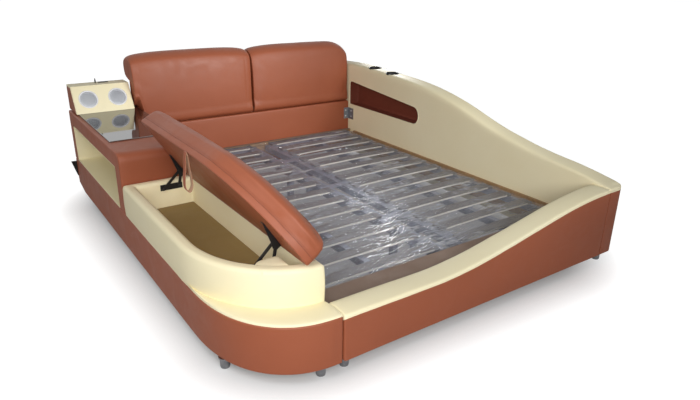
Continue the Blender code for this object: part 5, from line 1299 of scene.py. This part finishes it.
def wing_drops(y):
    """How far the wing's skin falls from its crest, on the inner and on the outer side."""
    return 0.009 + 0.029 * smooth_step((y - Y_FOOT) / 1.1), 0.013 + 0.015 * smooth_step((y - Y_FOOT) / 0.4)


def wing_section(y, low, lower, slab):
    """Cross-section (x, z) of the wing's pad at y."""
    crest, reach = wing_crest(y), wing_reach(y)
    drop_in, drop_out = wing_drops(y)
    top = [(X_WING + reach * a, crest - drop_in * d) for a, d in WING_INNER]
    top += [(X_WING + reach * a, crest - drop_out * d) for a, d in WING_OUTER]
    side = [(X_WING, low + (top[0][1] - low) * share) for share in np.linspace(0, 1, 14)[:-1]]
    under = [(X_WING + reach, lower), (X_WING + slab + 0.003, lower), (X_WING + slab, lower - 0.002),
             (X_WING + slab, low)]
    return np.array(side + top + under)


def wing_surface(x, y):
    """Height of the wing's skin over a point."""
    share = min(1.0, max(0.0, (x - X_WING) / wing_reach(y)))
    drop_in, drop_out = wing_drops(y)
    shares = [a for a, _ in WING_INNER[1:]] + [a for a, _ in WING_OUTER[:-1]]
    drops = [drop_in * d for _, d in WING_INNER[1:]] + [drop_out * d for _, d in WING_OUTER[:-1]]
    return wing_crest(y) - float(np.interp(share, shares, drops))


def wing_pad_loops(end_y, end_z):
    """Sections of the wing's pad, from its rounded foot end to the head."""
    loops = []
    for share in (0.0, 0.04, 0.12, 0.25, 0.45, 0.70, 1.0):
        y = Y_FOOT + WING_END_THICK * share
        section = wing_section(y, end_z + GAP, end_z + 3 * GAP, WING_SLAB * wing_reach(y) / (X_OUT - X_WING))
        roll = 0.007 * (1 - math.sin(math.acos(1 - min(1.0, share / 0.45))))
        section[:, 1] = np.minimum(section[:, 1], wing_crest(y) - roll)
        loops.append([(x, y, z) for x, z in section])
    for y in np.linspace(end_y + GAP, Y_BACK - 0.004, 84):
        loops.append([(x, y, z) for x, z in wing_section(y, SKIRT_LOW, wing_crest(y) - WING_LAYER, WING_SLAB)])
    for share in (0.5, 1.0):
        y = Y_BACK - 0.004 * (1 - share)
        section = drawn_in(wing_section(y, SKIRT_LOW, wing_crest(y) - WING_LAYER, WING_SLAB), 0.003 * share ** 2)
        loops.append([(x, y, z) for x, z in section])
    return loops


def build_pocket(low, high):
    """Welt round the pocket's mouth and its dark lining, a shell closed at the back."""
    edge = [(X_WING + 0.0015, y, z) for y, z in pocket_outline(low, high, -0.0005)]
    welt("pocket_edge", edge, 0.0035, cream_leather(), closed=True)

    def rings(places):
        return [[(x, y, z) for y, z in pocket_outline(low, high, inset)] for x, inset in places]

    points, faces = loft(rings(((X_WING + 0.001, 0.0006), (high.x - 0.010, 0.0006), (high.x - 0.003, 0.003),
                                (high.x, 0.010), (high.x, 0.024))))
    inner = rings(((high.x - 0.0022, 0.024), (high.x - 0.0024, 0.010), (high.x - 0.0055, 0.0045),
                   (high.x - 0.012, 0.0028), (X_WING + 0.001, 0.0028)))
    hollow, hollow_faces = loft(inner, caps=False)
    hollow_faces.append(tuple(range(len(inner[0]))))
    shell = loose("pocket_lining", [(points, faces[:-2] + [faces[-1]]), (hollow, hollow_faces)])
    place(shell, dark_lining(), replaces=("pocket_liner",), fill=1.0)


def build_wing_panels(end_y, end_z):
    """Brown panels over the wing's outer side and its foot end."""
    slab, loops = X_WING + WING_SLAB + GAP, []
    for y, inset in stations(end_y + GAP, Y_BACK, 70, 0.0, 0.004):
        lower, outer = wing_crest(y) - WING_LAYER - GAP, X_WING + wing_reach(y)
        section = fillet([(slab, SKIRT_LOW, 0.002, 0), (slab, lower, 0.002, 0), (outer, lower, 0.004, 10),
                          (outer, SKIRT_LOW, 0.004, 0)])
        loops.append([(x, y, z) for x, z in drawn_in(section, inset)])
    panel = rumple(loose("wing_outside", [loft(loops)]), sizes().fold_depth * 0.3, 0.3, 9)
    place(panel, brown_leather(), replaces=("wing_outer_panel",), fill=0.95)
    loops, deep = [], WING_END_THICK - GAP
    for z, inset in stations(SKIRT_LOW, end_z, 12, 0.004, 0.003):
        near, far, left = Y_FOOT + inset, Y_FOOT + deep - inset, X_WING + GAP + inset
        ring = [(left, near)] + [(X_WING + wing_reach(y) - inset, y) for y in np.linspace(near, far, 10)]
        loops.append([(x, y, z) for x, y in ring + [(left, far)]])
    place(loose("wing_end", [loft(loops)]), brown_leather(), replaces=("wing_end_panel",), fill=0.95)


def build_wing():
    """Raised side: cream pad with a lined pocket and cup wells, over brown outer and end panels."""
    end_z, end_y = WING_FOOT_Z - 0.019, Y_FOOT + WING_END_THICK
    pad = loose("wing_cover", [loft(wing_pad_loops(end_y, end_z))])

    def wave(spot):
        if spot.y <= end_y + 0.02:
            return 0.0
        return noise.fractal(Vector((spot.x * 6, spot.y * 5, spot.z * 6)), 0.9, 2.0, 3)

    push_out(pad, sizes().fold_depth * 1.2, wave)
    low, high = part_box("pocket_liner")
    mouth = loft([[(x, y, z) for y, z in pocket_outline(low, high, 0.0)] for x in (X_WING - 0.03, high.x + GAP)])
    cutters = [loose("pocket_hole", [mouth])]
    for name in CUPS:
        near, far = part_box(name)
        centre = ((near.x + far.x) / 2, (near.y + far.y) / 2, near.z - GAP)
        cutters.append(loose("cup_hole", [turned([(0, 0), (0.0428, 0), (0.0428, 0.15), (0, 0.15)], 48, centre)]))
    cut_out(pad, *cutters)
    place(pad, cream_leather(), replaces=("wing_pad",), fill=0.9, sharp=50)
    build_pocket(low, high)
    build_wing_panels(end_y, end_z)
    for name in CUPS:
        build_cup(name)


def pocket_outline(low, high, inset):
    """Side outline (y, z) of the pocket's lining, drawn in by inset."""
    foot, head, bottom = low.y + inset, high.y - inset, low.z + inset
    radius, small = 0.0517 - inset, max(0.003, 0.026 - inset)
    foot_top, head_top = low.z + 0.114 - inset, high.z - inset
    points = arc((head - small, head_top - small), small, 0, math.pi / 2, 7)
    points += arc((foot + radius, foot_top - radius), radius, math.radians(97), math.pi, 10)
    points += arc((foot + radius, bottom + radius), radius, math.pi, 1.5 * math.pi, 10)
    points += arc((head - 0.003, bottom + 0.003), 0.003, 1.5 * math.pi, 2 * math.pi, 5)
    return np.array(points)


def build_cup(name):
    """One cup let into the wing's top, its lip lying on the slope."""
    near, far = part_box(name)
    x, y, low = (near.x + far.x) / 2, (near.y + far.y) / 2, near.z
    top = wing_crest(y)
    deep = top - low
    profile = [(0, 0), (0.0405, 0), (0.0420, 0.004), (0.0424, deep - 0.001), (0.0452, deep + 0.0001),
               (0.0455, deep + 0.0008), (0.0446, deep + 0.0013), (0.0412, deep + 0.0002), (0.0398, deep - 0.003),
               (0.0375, 0.006), (0.0355, 0.0035), (0, 0.0035)]
    cup = loose(name + "_well", [turned(profile, 56, (x, y, low))])
    for vert in cup.data.vertices:
        share = smooth_step((vert.co.z - low) / deep)
        vert.co.z += (wing_surface(vert.co.x, vert.co.y) - top) * share
    place(cup, black_moulding(), replaces=(name,), sharp=50)


def build_headboard():
    """Padded band under the headrests, the core behind it and the covered board at the back."""
    s = sizes()
    low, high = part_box("headboard_band")
    outline = fillet([(low.y, low.z, 0.006, 10), (low.y, high.z, 0.010, 2), (high.y, high.z, 0.004, 4),
                      (high.y, low.z, 0.004, 2)])
    share = np.clip((outline[:, 1] - low.z) / (high.z - low.z), 0, 1)
    outline[:, 0] -= np.where(outline[:, 0] < low.y + 0.012, s.panel_crown * np.sin(share * math.pi), 0)
    band = rumple(loose("headboard_pad", [along_x(lambda x: outline, stations(low.x, high.x, 48, 0.006, 0.006))]),
                  s.fold_depth * 0.8, 0.2, 10)
    place(band, brown_leather(), replaces=("headboard_band",), fill=0.9)
    low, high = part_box("headboard_back_board")
    back = rumple(loose("headboard_cover", [block(low, high, 0.005, 10)]), s.fold_depth * 0.4, 0.3, 11)
    place(back, brown_leather(), replaces=("headboard_back_board",), fill=1.0)
    dress("headboard_core", brown_leather())
    dress("headrest_rod", zinc())


def headrest_lift(x, y):
    """How far a left end's underside stands up, to swing clear of the cabinet and its glass."""
    share = 1 - min(1.0, max(0.0, (x - X_BED) / CUT_RUN))
    return share * max(CUT_BACK, CUT_FRONT - CUT_SLOPE * max(0.0, y - Y_HEAD))


def headrest_loop(x, pull, shrink):
    """One cross-section of a headrest pad, its front and top drawn in by pull and shrink."""
    radius, low = HEAD_FOOT_ROUND, BAND_TOP + GAP
    rise, az = HEADREST_TOP - low, low + radius
    points = arc((Y_HEAD + radius, az), radius, 1.5 * math.pi, math.pi, 4)
    points += [(Y_HEAD + HEAD_DEPTH * a, low + rise * b) for a, b in HEAD_PROFILE]
    path = smooth_path(points, 84, closed=True)
    limit = rise * 0.64
    centre = np.array((Y_HEAD + HEAD_DEPTH / 2, low + limit))
    loop = []
    for y, z in path:
        if z > az + radius:
            y, z = centre + (np.array((y, z)) - centre) * (1 - 2 * (pull + shrink) / HEAD_DEPTH)
        if z - low < limit:
            lift = headrest_lift(x, y)
            z = low + lift + (z - low) * (limit - lift) / limit
        loop.append((x, y, z))
    return loop


def build_headrests():
    """Two boxed headrest cushions with sewn side panels."""
    s = sizes()
    for index, name in enumerate(("headrest_left", "headrest_right")):
        low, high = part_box(name)
        left, right, shrink = low.x + 0.001, high.x - 0.001, s.swell * 0.6
        loops = []
        for share in np.concatenate([[0, 0.003, 0.009], np.linspace(0.02, 0.98, 60), [0.991, 0.997, 1.0]]):
            pull = 0.009 * np.interp(share, HEAD_STATIONS, HEAD_DRAW)
            crown = 0.015 * (1 - (2 * share - 1) ** 4) - 0.002
            crown -= 0.034 * max(0.0, (share - 0.82) / 0.18) ** 2.4 * index
            loop = headrest_loop(left + (right - left) * share, pull, shrink)
            loops.append([(x, y, z + crown * smooth_step((z - BAND_TOP - 0.1) / 0.3)) for x, y, z in loop])
        pad = loose(name + "_pad", [capped(loops)])
        floor = BAND_TOP + GAP
        swell(pad, s.swell, lambda spot: spot[2] < floor + 0.012)
        for vert in pad.data.vertices:
            vert.co.z = max(vert.co.z, floor)
            vert.co.x = min(max(vert.co.x, low.x + 0.0004), high.x - 0.0004)
        rumple(pad, s.fold_depth * 0.8, 0.20, 12 + index)
        for share in (0.055, 0.945):
            loop = [Vector(p) for p in headrest_loop(left + (right - left) * share, 0.0032, -0.003)]
            carve(pad, [p for p in loop if p.z > floor + 0.03], 0.011, 0.0032)
        place(pad, brown_leather(), name, (name,), fill=0.8, sharp=70)


def build_slat_row(side):
    """One side's row of bowed slats, and the moulded holders on their ends."""
    s, lift = sizes(), 0.0004
    low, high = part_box("slats_" + side)
    length, thick = high.x - low.x, high.z - low.z - lift
    half = s.slat_width / 2
    outline = fillet([(-half, 0, 0.002, 0), (half, 0, 0.002, 0), (half, thick, 0.0035, 3),
                      (-half, thick, 0.0035, 0)], 3)
    loops = []
    for x, inset in stations(0, length, 12, 0.002, 0.002, 3):
        rise = s.slat_bow * (1 - (2 * x / length - 1) ** 2)
        loops.append([(x, y, z + rise) for y, z in drawn_in(outline, inset)])
    slat = loose("slat", [loft(loops)])
    pitch = (high.y - low.y - s.slat_width) / (s.slat_count - 1)
    row = bare_object("slat_row_" + side, [(0, 0, 0)])
    grow(row, "row_of_slats", piece=slat, count=s.slat_count, pitch=pitch, finish=slat_edge(),
         face_finish=slat_face())
    drop(slat)
    row.data.transform(Matrix.Translation((low.x, low.y + half, low.z + lift)))
    place(row, None, replaces=("slats_" + side,))
    holder = holder_source(s.slat_width, thick)
    spots, turns = [], []
    for index in range(s.slat_count):
        for x, turn in ((low.x, 0.0), (high.x, math.pi)):
            spots.append((x, low.y + half + pitch * index, low.z + lift))
            turns.append((0, 0, turn))
    place(copies("slat_holders_" + side, holder, spots, turns, grey_moulding()), None)
    drop(holder)


def build_slat_base():
    """Steel frames, rows of bowed slats with their end holders, and the stepped bearers round them."""
    for name in ("slat_frame_left", "slat_frame_right"):
        dress(name, frame_paint())
    dress("bearer_frame", bare_board())
    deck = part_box("bearer_frame")[1].z
    strip = block((X_BED + 0.001, Y_BED + 0.001, deck + GAP), (X_WING - 0.001, STRIP_END, deck + 0.0022), 0.0008, 4)
    place(rumple(loose("foot_strip", [strip]), 0.0004, 0.12, 21), strip_cloth(), flat=True)
    # At the head end the same dark strip lies over the bearer: painted shade.
    strip = block((X_BED + 0.001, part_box("plastic_film")[1].y + 0.001, deck + GAP),
                  (X_WING - 0.004, Y_HEAD - 0.006, deck + 0.0022), 0.0008, 4)
    place(loose("head_strip", [strip]), strip_cloth(), flat=True)
    for side in ("left", "right"):
        build_slat_row(side)


def holder_source(width, thick):
    """A moulded holder that caps one slat's end."""
    half = width / 2 + 0.003
    outline = fillet([(-half, -0.0003, 0.002, 0), (half, -0.0003, 0.002, 0), (half, thick + 0.0018, 0.003, 0),
                      (-half, thick + 0.0018, 0.003, 0)], 3)
    return loose("holder", [loft([[(x, y, z) for y, z in drawn_in(outline, inset)]
                                  for x, inset in stations(-0.004, 0.026, 3, 0.002, 0.0012, 3)])])


def crease_share(x, y):
    """How high the film's broad and fine creases stand at a point, from 0 to 1."""
    spot = Vector((x * 0.45 + y * 0.15, y * 4.2 - x * 1.2, 0.0))
    swirl = noise.noise(Vector((x * 1.7, y * 1.7, 3.1))) * 0.5
    ridge = abs(noise.noise(spot * 3.2 + Vector((swirl, swirl, 0))))
    fine = abs(noise.noise(spot * 9.0 + Vector((0, swirl * 2, 5))))
    patch = 0.35 + 0.65 * smooth_step(0.5 + 1.6 * noise.noise(Vector((x * 1.5, y * 1.5, 9.7))))
    return (max(0.0, 1 - ridge * 5.0) * 0.7 + max(0.0, 1 - fine * 4.0) * 0.3) * patch


def build_film():
    """Clear film laid over the slats, with sharp creases."""
    s = sizes()
    low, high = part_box("plastic_film")
    base, foot = low.z + s.slat_bow + 0.0008, STRIP_END + 0.002
    rows = [[(x, y, base + s.film_rise * crease_share(x, y)) for x in np.linspace(low.x, high.x, 150)]
            for y in np.linspace(foot, high.y, 210)]
    film = loose("film_sheet", [sheet_grid(rows)])
    place(film, clear_film(), replaces=("plastic_film",), sharp=80)


def build_brackets():
    """Two corner brackets, each an angle of plate, with two screws in each leaf."""
    spots, turns, thick = [], [], 0.003
    for name, sign in (("bracket_left", 1), ("bracket_right", -1)):
        low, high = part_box(name)
        corner, head = (low.x if sign > 0 else high.x), high.y
        short, long_leaf = high.x - low.x, high.y - low.y
        ring = [(0, 0), (short, 0), (short, -thick), (thick + 0.003, -thick), (thick + 0.0009, -thick - 0.0009),
                (thick, -thick - 0.003), (thick, -long_leaf), (0, -long_leaf)]
        loops = []
        for z, inset in stations(low.z, high.z, 3, 0.001, 0.001, 3):
            loops.append([(corner + sign * x, head + y, z) for x, y in
                          [(min(a, short - inset * 4), max(b, -long_leaf + inset * 4)) for a, b in ring]])
        place(loose(name + "_plate", [loft(loops)]), zinc(), replaces=(name,))
        for share in (0.24, 0.76):
            z = low.z + (high.z - low.z) * share
            spots += [(corner + sign * short * 0.62, head - thick, z),
                      (corner + sign * thick, head - long_leaf * 0.62, z)]
            turns += [(math.pi / 2, 0, 0), (0, sign * math.pi / 2, 0)]
    screw = loose("screw", [turned([(0, -0.0005), (0.0058, -0.0005), (0.0056, 0.0008), (0.0042, 0.0022),
                                    (0.0024, 0.0027), (0.0022, 0.0012), (0, 0.0012)], 18)])
    place(copies("bracket_screws", screw, spots, turns, silver_ring()), None)
    drop(screw)


def build_feet():
    """The turned feet, one under each packed foot's middle."""
    feet = [n for n in frame["nodes"] if n.startswith("foot_") and n not in ("foot_rail_panel", "foot_rail_cap")]
    boxes, top = [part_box(n) for n in sorted(feet)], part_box(feet[0])[1].z
    foot = loose("foot", [turned([(0, 0), (0.0150, 0), (0.0165, 0.0012), (0.0165, 0.0055), (0.0180, 0.0068),
                                  (0.0180, top - 0.012), (0.0175, top - 0.009), (0.0215, top - 0.0065),
                                  (0.0222, top - 0.005), (0.0222, top), (0, top)], 40)])
    spots = [((low.x + high.x) / 2, (low.y + high.y) / 2, 0.0) for low, high in boxes]
    made = copies("bed_feet", foot, spots, [(0, 0, 0)] * len(spots), chrome())
    drop(foot)
    place(made, None, replaces=feet, sharp=35)


def build_fittings():
    """Corner brackets with their screws, the feet and the rear spacer."""
    build_brackets()
    build_feet()
    dress("rear_spacer", black_moulding())


def soft_light(name, spot, target, size, beam, power):
    """An even lamp of one size, turned to a target, its beam held to an angle."""
    lamp = bpy.data.lights.new(name, "AREA")
    lamp.shape, lamp.size, lamp.size_y, lamp.energy = "RECTANGLE", size[0], size[1], power
    lamp.spread = math.radians(beam)
    made = linked(name, lamp)
    made.location = spot
    made.rotation_euler = (Vector(target) - Vector(spot)).to_track_quat("-Z", "Y").to_euler()


def add_camera(stage):
    """The camera that takes the photograph's view."""
    forward, right = Vector(stage.camera_heading).normalized(), Vector(stage.camera_right).normalized()
    up = right.cross(forward).normalized()
    right = forward.cross(up)
    lens = bpy.data.cameras.new("camera")
    lens.lens, lens.sensor_width = stage.lens, 36.0
    lens.clip_start, lens.clip_end = 0.05, 60.0
    camera = linked("camera", lens)
    camera.matrix_world = Matrix(((right.x, up.x, -forward.x, stage.camera_place[0]),
                                  (right.y, up.y, -forward.y, stage.camera_place[1]),
                                  (right.z, up.z, -forward.z, stage.camera_place[2]), (0, 0, 0, 1)))
    bpy.context.scene.camera = camera


def floor_paper(glow_near):
    """Paper that glows white away from the bed and keeps the shade under it."""
    paper = bpy.data.materials.new("floor_paper")
    paper.use_nodes = True
    tree = paper.node_tree
    shader = tree.nodes["Principled BSDF"]
    shader.inputs["Roughness"].default_value = 0.9
    shader.inputs["Specular IOR Level"].default_value = 0.0
    out = node(tree, "ShaderNodeTexCoord").outputs["Object"]
    for operation, value in (("MULTIPLY", (1.0, 1.0, 0.0)), ("ABSOLUTE", None), ("SUBTRACT", FLOOR_HALF),
                             ("MAXIMUM", (0.0, 0.0, 0.0))):
        inputs = {0: out} if value is None else {0: out, 1: value}
        out = node(tree, "ShaderNodeVectorMath", inputs, operation=operation).outputs[0]
    out = node(tree, "ShaderNodeVectorMath", {0: out}, operation="LENGTH").outputs["Value"]
    reach = sum_of(tree, out, FLOOR_ROUND, "SUBTRACT")
    # Under the bed the paper is painted dark: painted shade.
    under = spread(tree, reach, -0.06, 0.0)
    floor_colour_painted_dark_under_bed = node(tree, "ShaderNodeMix", {0: under, 6: (0.16, 0.14, 0.13, 1.0), 7: (0.55, 0.55, 0.55, 1.0)},
                 data_type="RGBA")
    tree.links.new(floor_colour_painted_dark_under_bed.outputs[2], shader.inputs["Base Color"])
    # The white glow is weakest at the bed's edge and grows outwards, full white some 0.8 m away: a painted shadow round
    # the bed.
    near = spread(tree, reach, 0.0, 0.25, 0.16, glow_near)
    far = spread(tree, reach, 0.10, 0.8, 0.0, 1.0)
    seen = sum_of(tree, seen_rays(tree, 0.2), sum_of(tree, near, far, "MAXIMUM"), "MULTIPLY")
    glow_with_painted_shadow = node(tree, "ShaderNodeEmission", {"Color": (1.0, 1.0, 1.0, 1.0), "Strength": seen}).outputs[0]
    both = node(tree, "ShaderNodeAddShader", {0: shader.outputs[0], 1: glow_with_painted_shadow}).outputs[0]
    tree.links.new(both, tree.nodes["Material Output"].inputs["Surface"])
    return paper


def seen_rays(tree, gloss_share):
    """1 for what the camera sees, also through film, a share for what gloss mirrors, 0 for light on the bed."""
    path = node(tree, "ShaderNodeLightPath").outputs
    gloss = sum_of(tree, path["Is Glossy Ray"], gloss_share, "MULTIPLY")
    seen = sum_of(tree, path["Is Camera Ray"], gloss, "MAXIMUM")
    return sum_of(tree, seen, path["Is Transmission Ray"], "MAXIMUM")


def add_sky(level_on_bed):
    """An even white sky, weaker where it only lights the bed."""
    world = bpy.data.worlds.new("sky")
    world.use_nodes = True
    bpy.context.scene.world = world
    tree = world.node_tree
    level = spread(tree, seen_rays(tree, 1.0), 0.0, 1.0, level_on_bed, 1.0)
    tree.nodes["Background"].inputs["Color"].default_value = (1.0, 1.0, 1.0, 1.0)
    tree.links.new(level, tree.nodes["Background"].inputs["Strength"])


def build_stage():
    """Pale floor, even sky, soft lights and the camera."""
    stage = bpy.context.scene.bed_stage
    bpy.context.scene.view_settings.view_transform = "Standard"
    add_camera(stage)
    floor = loose("floor", [sheet_grid([[(x, y, 0.0) for x in (-30, 30)] for y in (-30, 30)])])
    floor.data.materials.append(floor_paper(stage.floor_glow))
    add_sky(stage.sky)
    for light in LIGHTS:
        soft_light(*light, getattr(stage, light[0] + "_power"))


BUILDERS = (
    ("plinth", "Plinth", build_plinth), ("ledge", "Ledge", build_ledge),
    ("storage_box", "Storage Box", build_storage_box), ("lid", "Lid", build_lid), ("lift", "Lid Lift", build_lift),
    ("strap", "Pull Strap", build_strap),
    ("cabinet", "Cabinet", build_cabinet), ("speaker_box", "Speaker Box", build_speaker_box),
    ("foot_rail", "Foot Rail", build_foot_rail), ("wing", "Wing", build_wing),
    ("headboard", "Headboard", build_headboard), ("headrests", "Headrests", build_headrests),
    ("slat_base", "Slat Base", build_slat_base), ("film", "Film", build_film), ("fittings", "Fittings", build_fittings),
    ("stage", "Stage", build_stage),
)


def operator_for(key, label, build):
    """One operator class for one builder."""

    def execute(self, context):
        build()
        return {"FINISHED"}

    return type("BED_OT_" + key, (bpy.types.Operator,),
                {"__doc__": build.__doc__, "bl_idname": "bed." + key, "bl_label": label, "execute": execute})


OPERATORS = tuple(operator_for(*row) for row in BUILDERS)


class BED_PT_pieces(bpy.types.Panel):
    """Lists the bed's pieces and its sizes."""

    bl_label = "Storage Bed"
    bl_idname = "BED_PT_pieces"
    bl_space_type = "VIEW_3D"
    bl_region_type = "UI"
    bl_category = "Bed"

    def draw(self, context):
        for key, label, _ in BUILDERS:
            self.layout.operator("bed." + key, text=label)
        for group in (context.scene.bed_sizes, context.scene.bed_colours, context.scene.bed_stage):
            box = self.layout.box()
            for key in group.__annotations__:
                box.prop(group, key)


CLASSES = (BedSizes, BedColours, BedStage) + OPERATORS + (BED_PT_pieces,)


def register():
    for each in CLASSES:
        bpy.utils.register_class(each)
    bpy.types.Scene.bed_sizes = PointerProperty(type=BedSizes)
    bpy.types.Scene.bed_colours = PointerProperty(type=BedColours)
    bpy.types.Scene.bed_stage = PointerProperty(type=BedStage)


def unregister():
    for name in ("bed_sizes", "bed_colours", "bed_stage"):
        delattr(bpy.types.Scene, name)
    for each in reversed(CLASSES):
        bpy.utils.unregister_class(each)


def main():
    """Build every piece, then write down the boxes of the solids and of the visible model."""
    register()
    for key, _, _ in BUILDERS:
        getattr(bpy.ops.bed, key)()


if __name__ == "__main__":
    main()
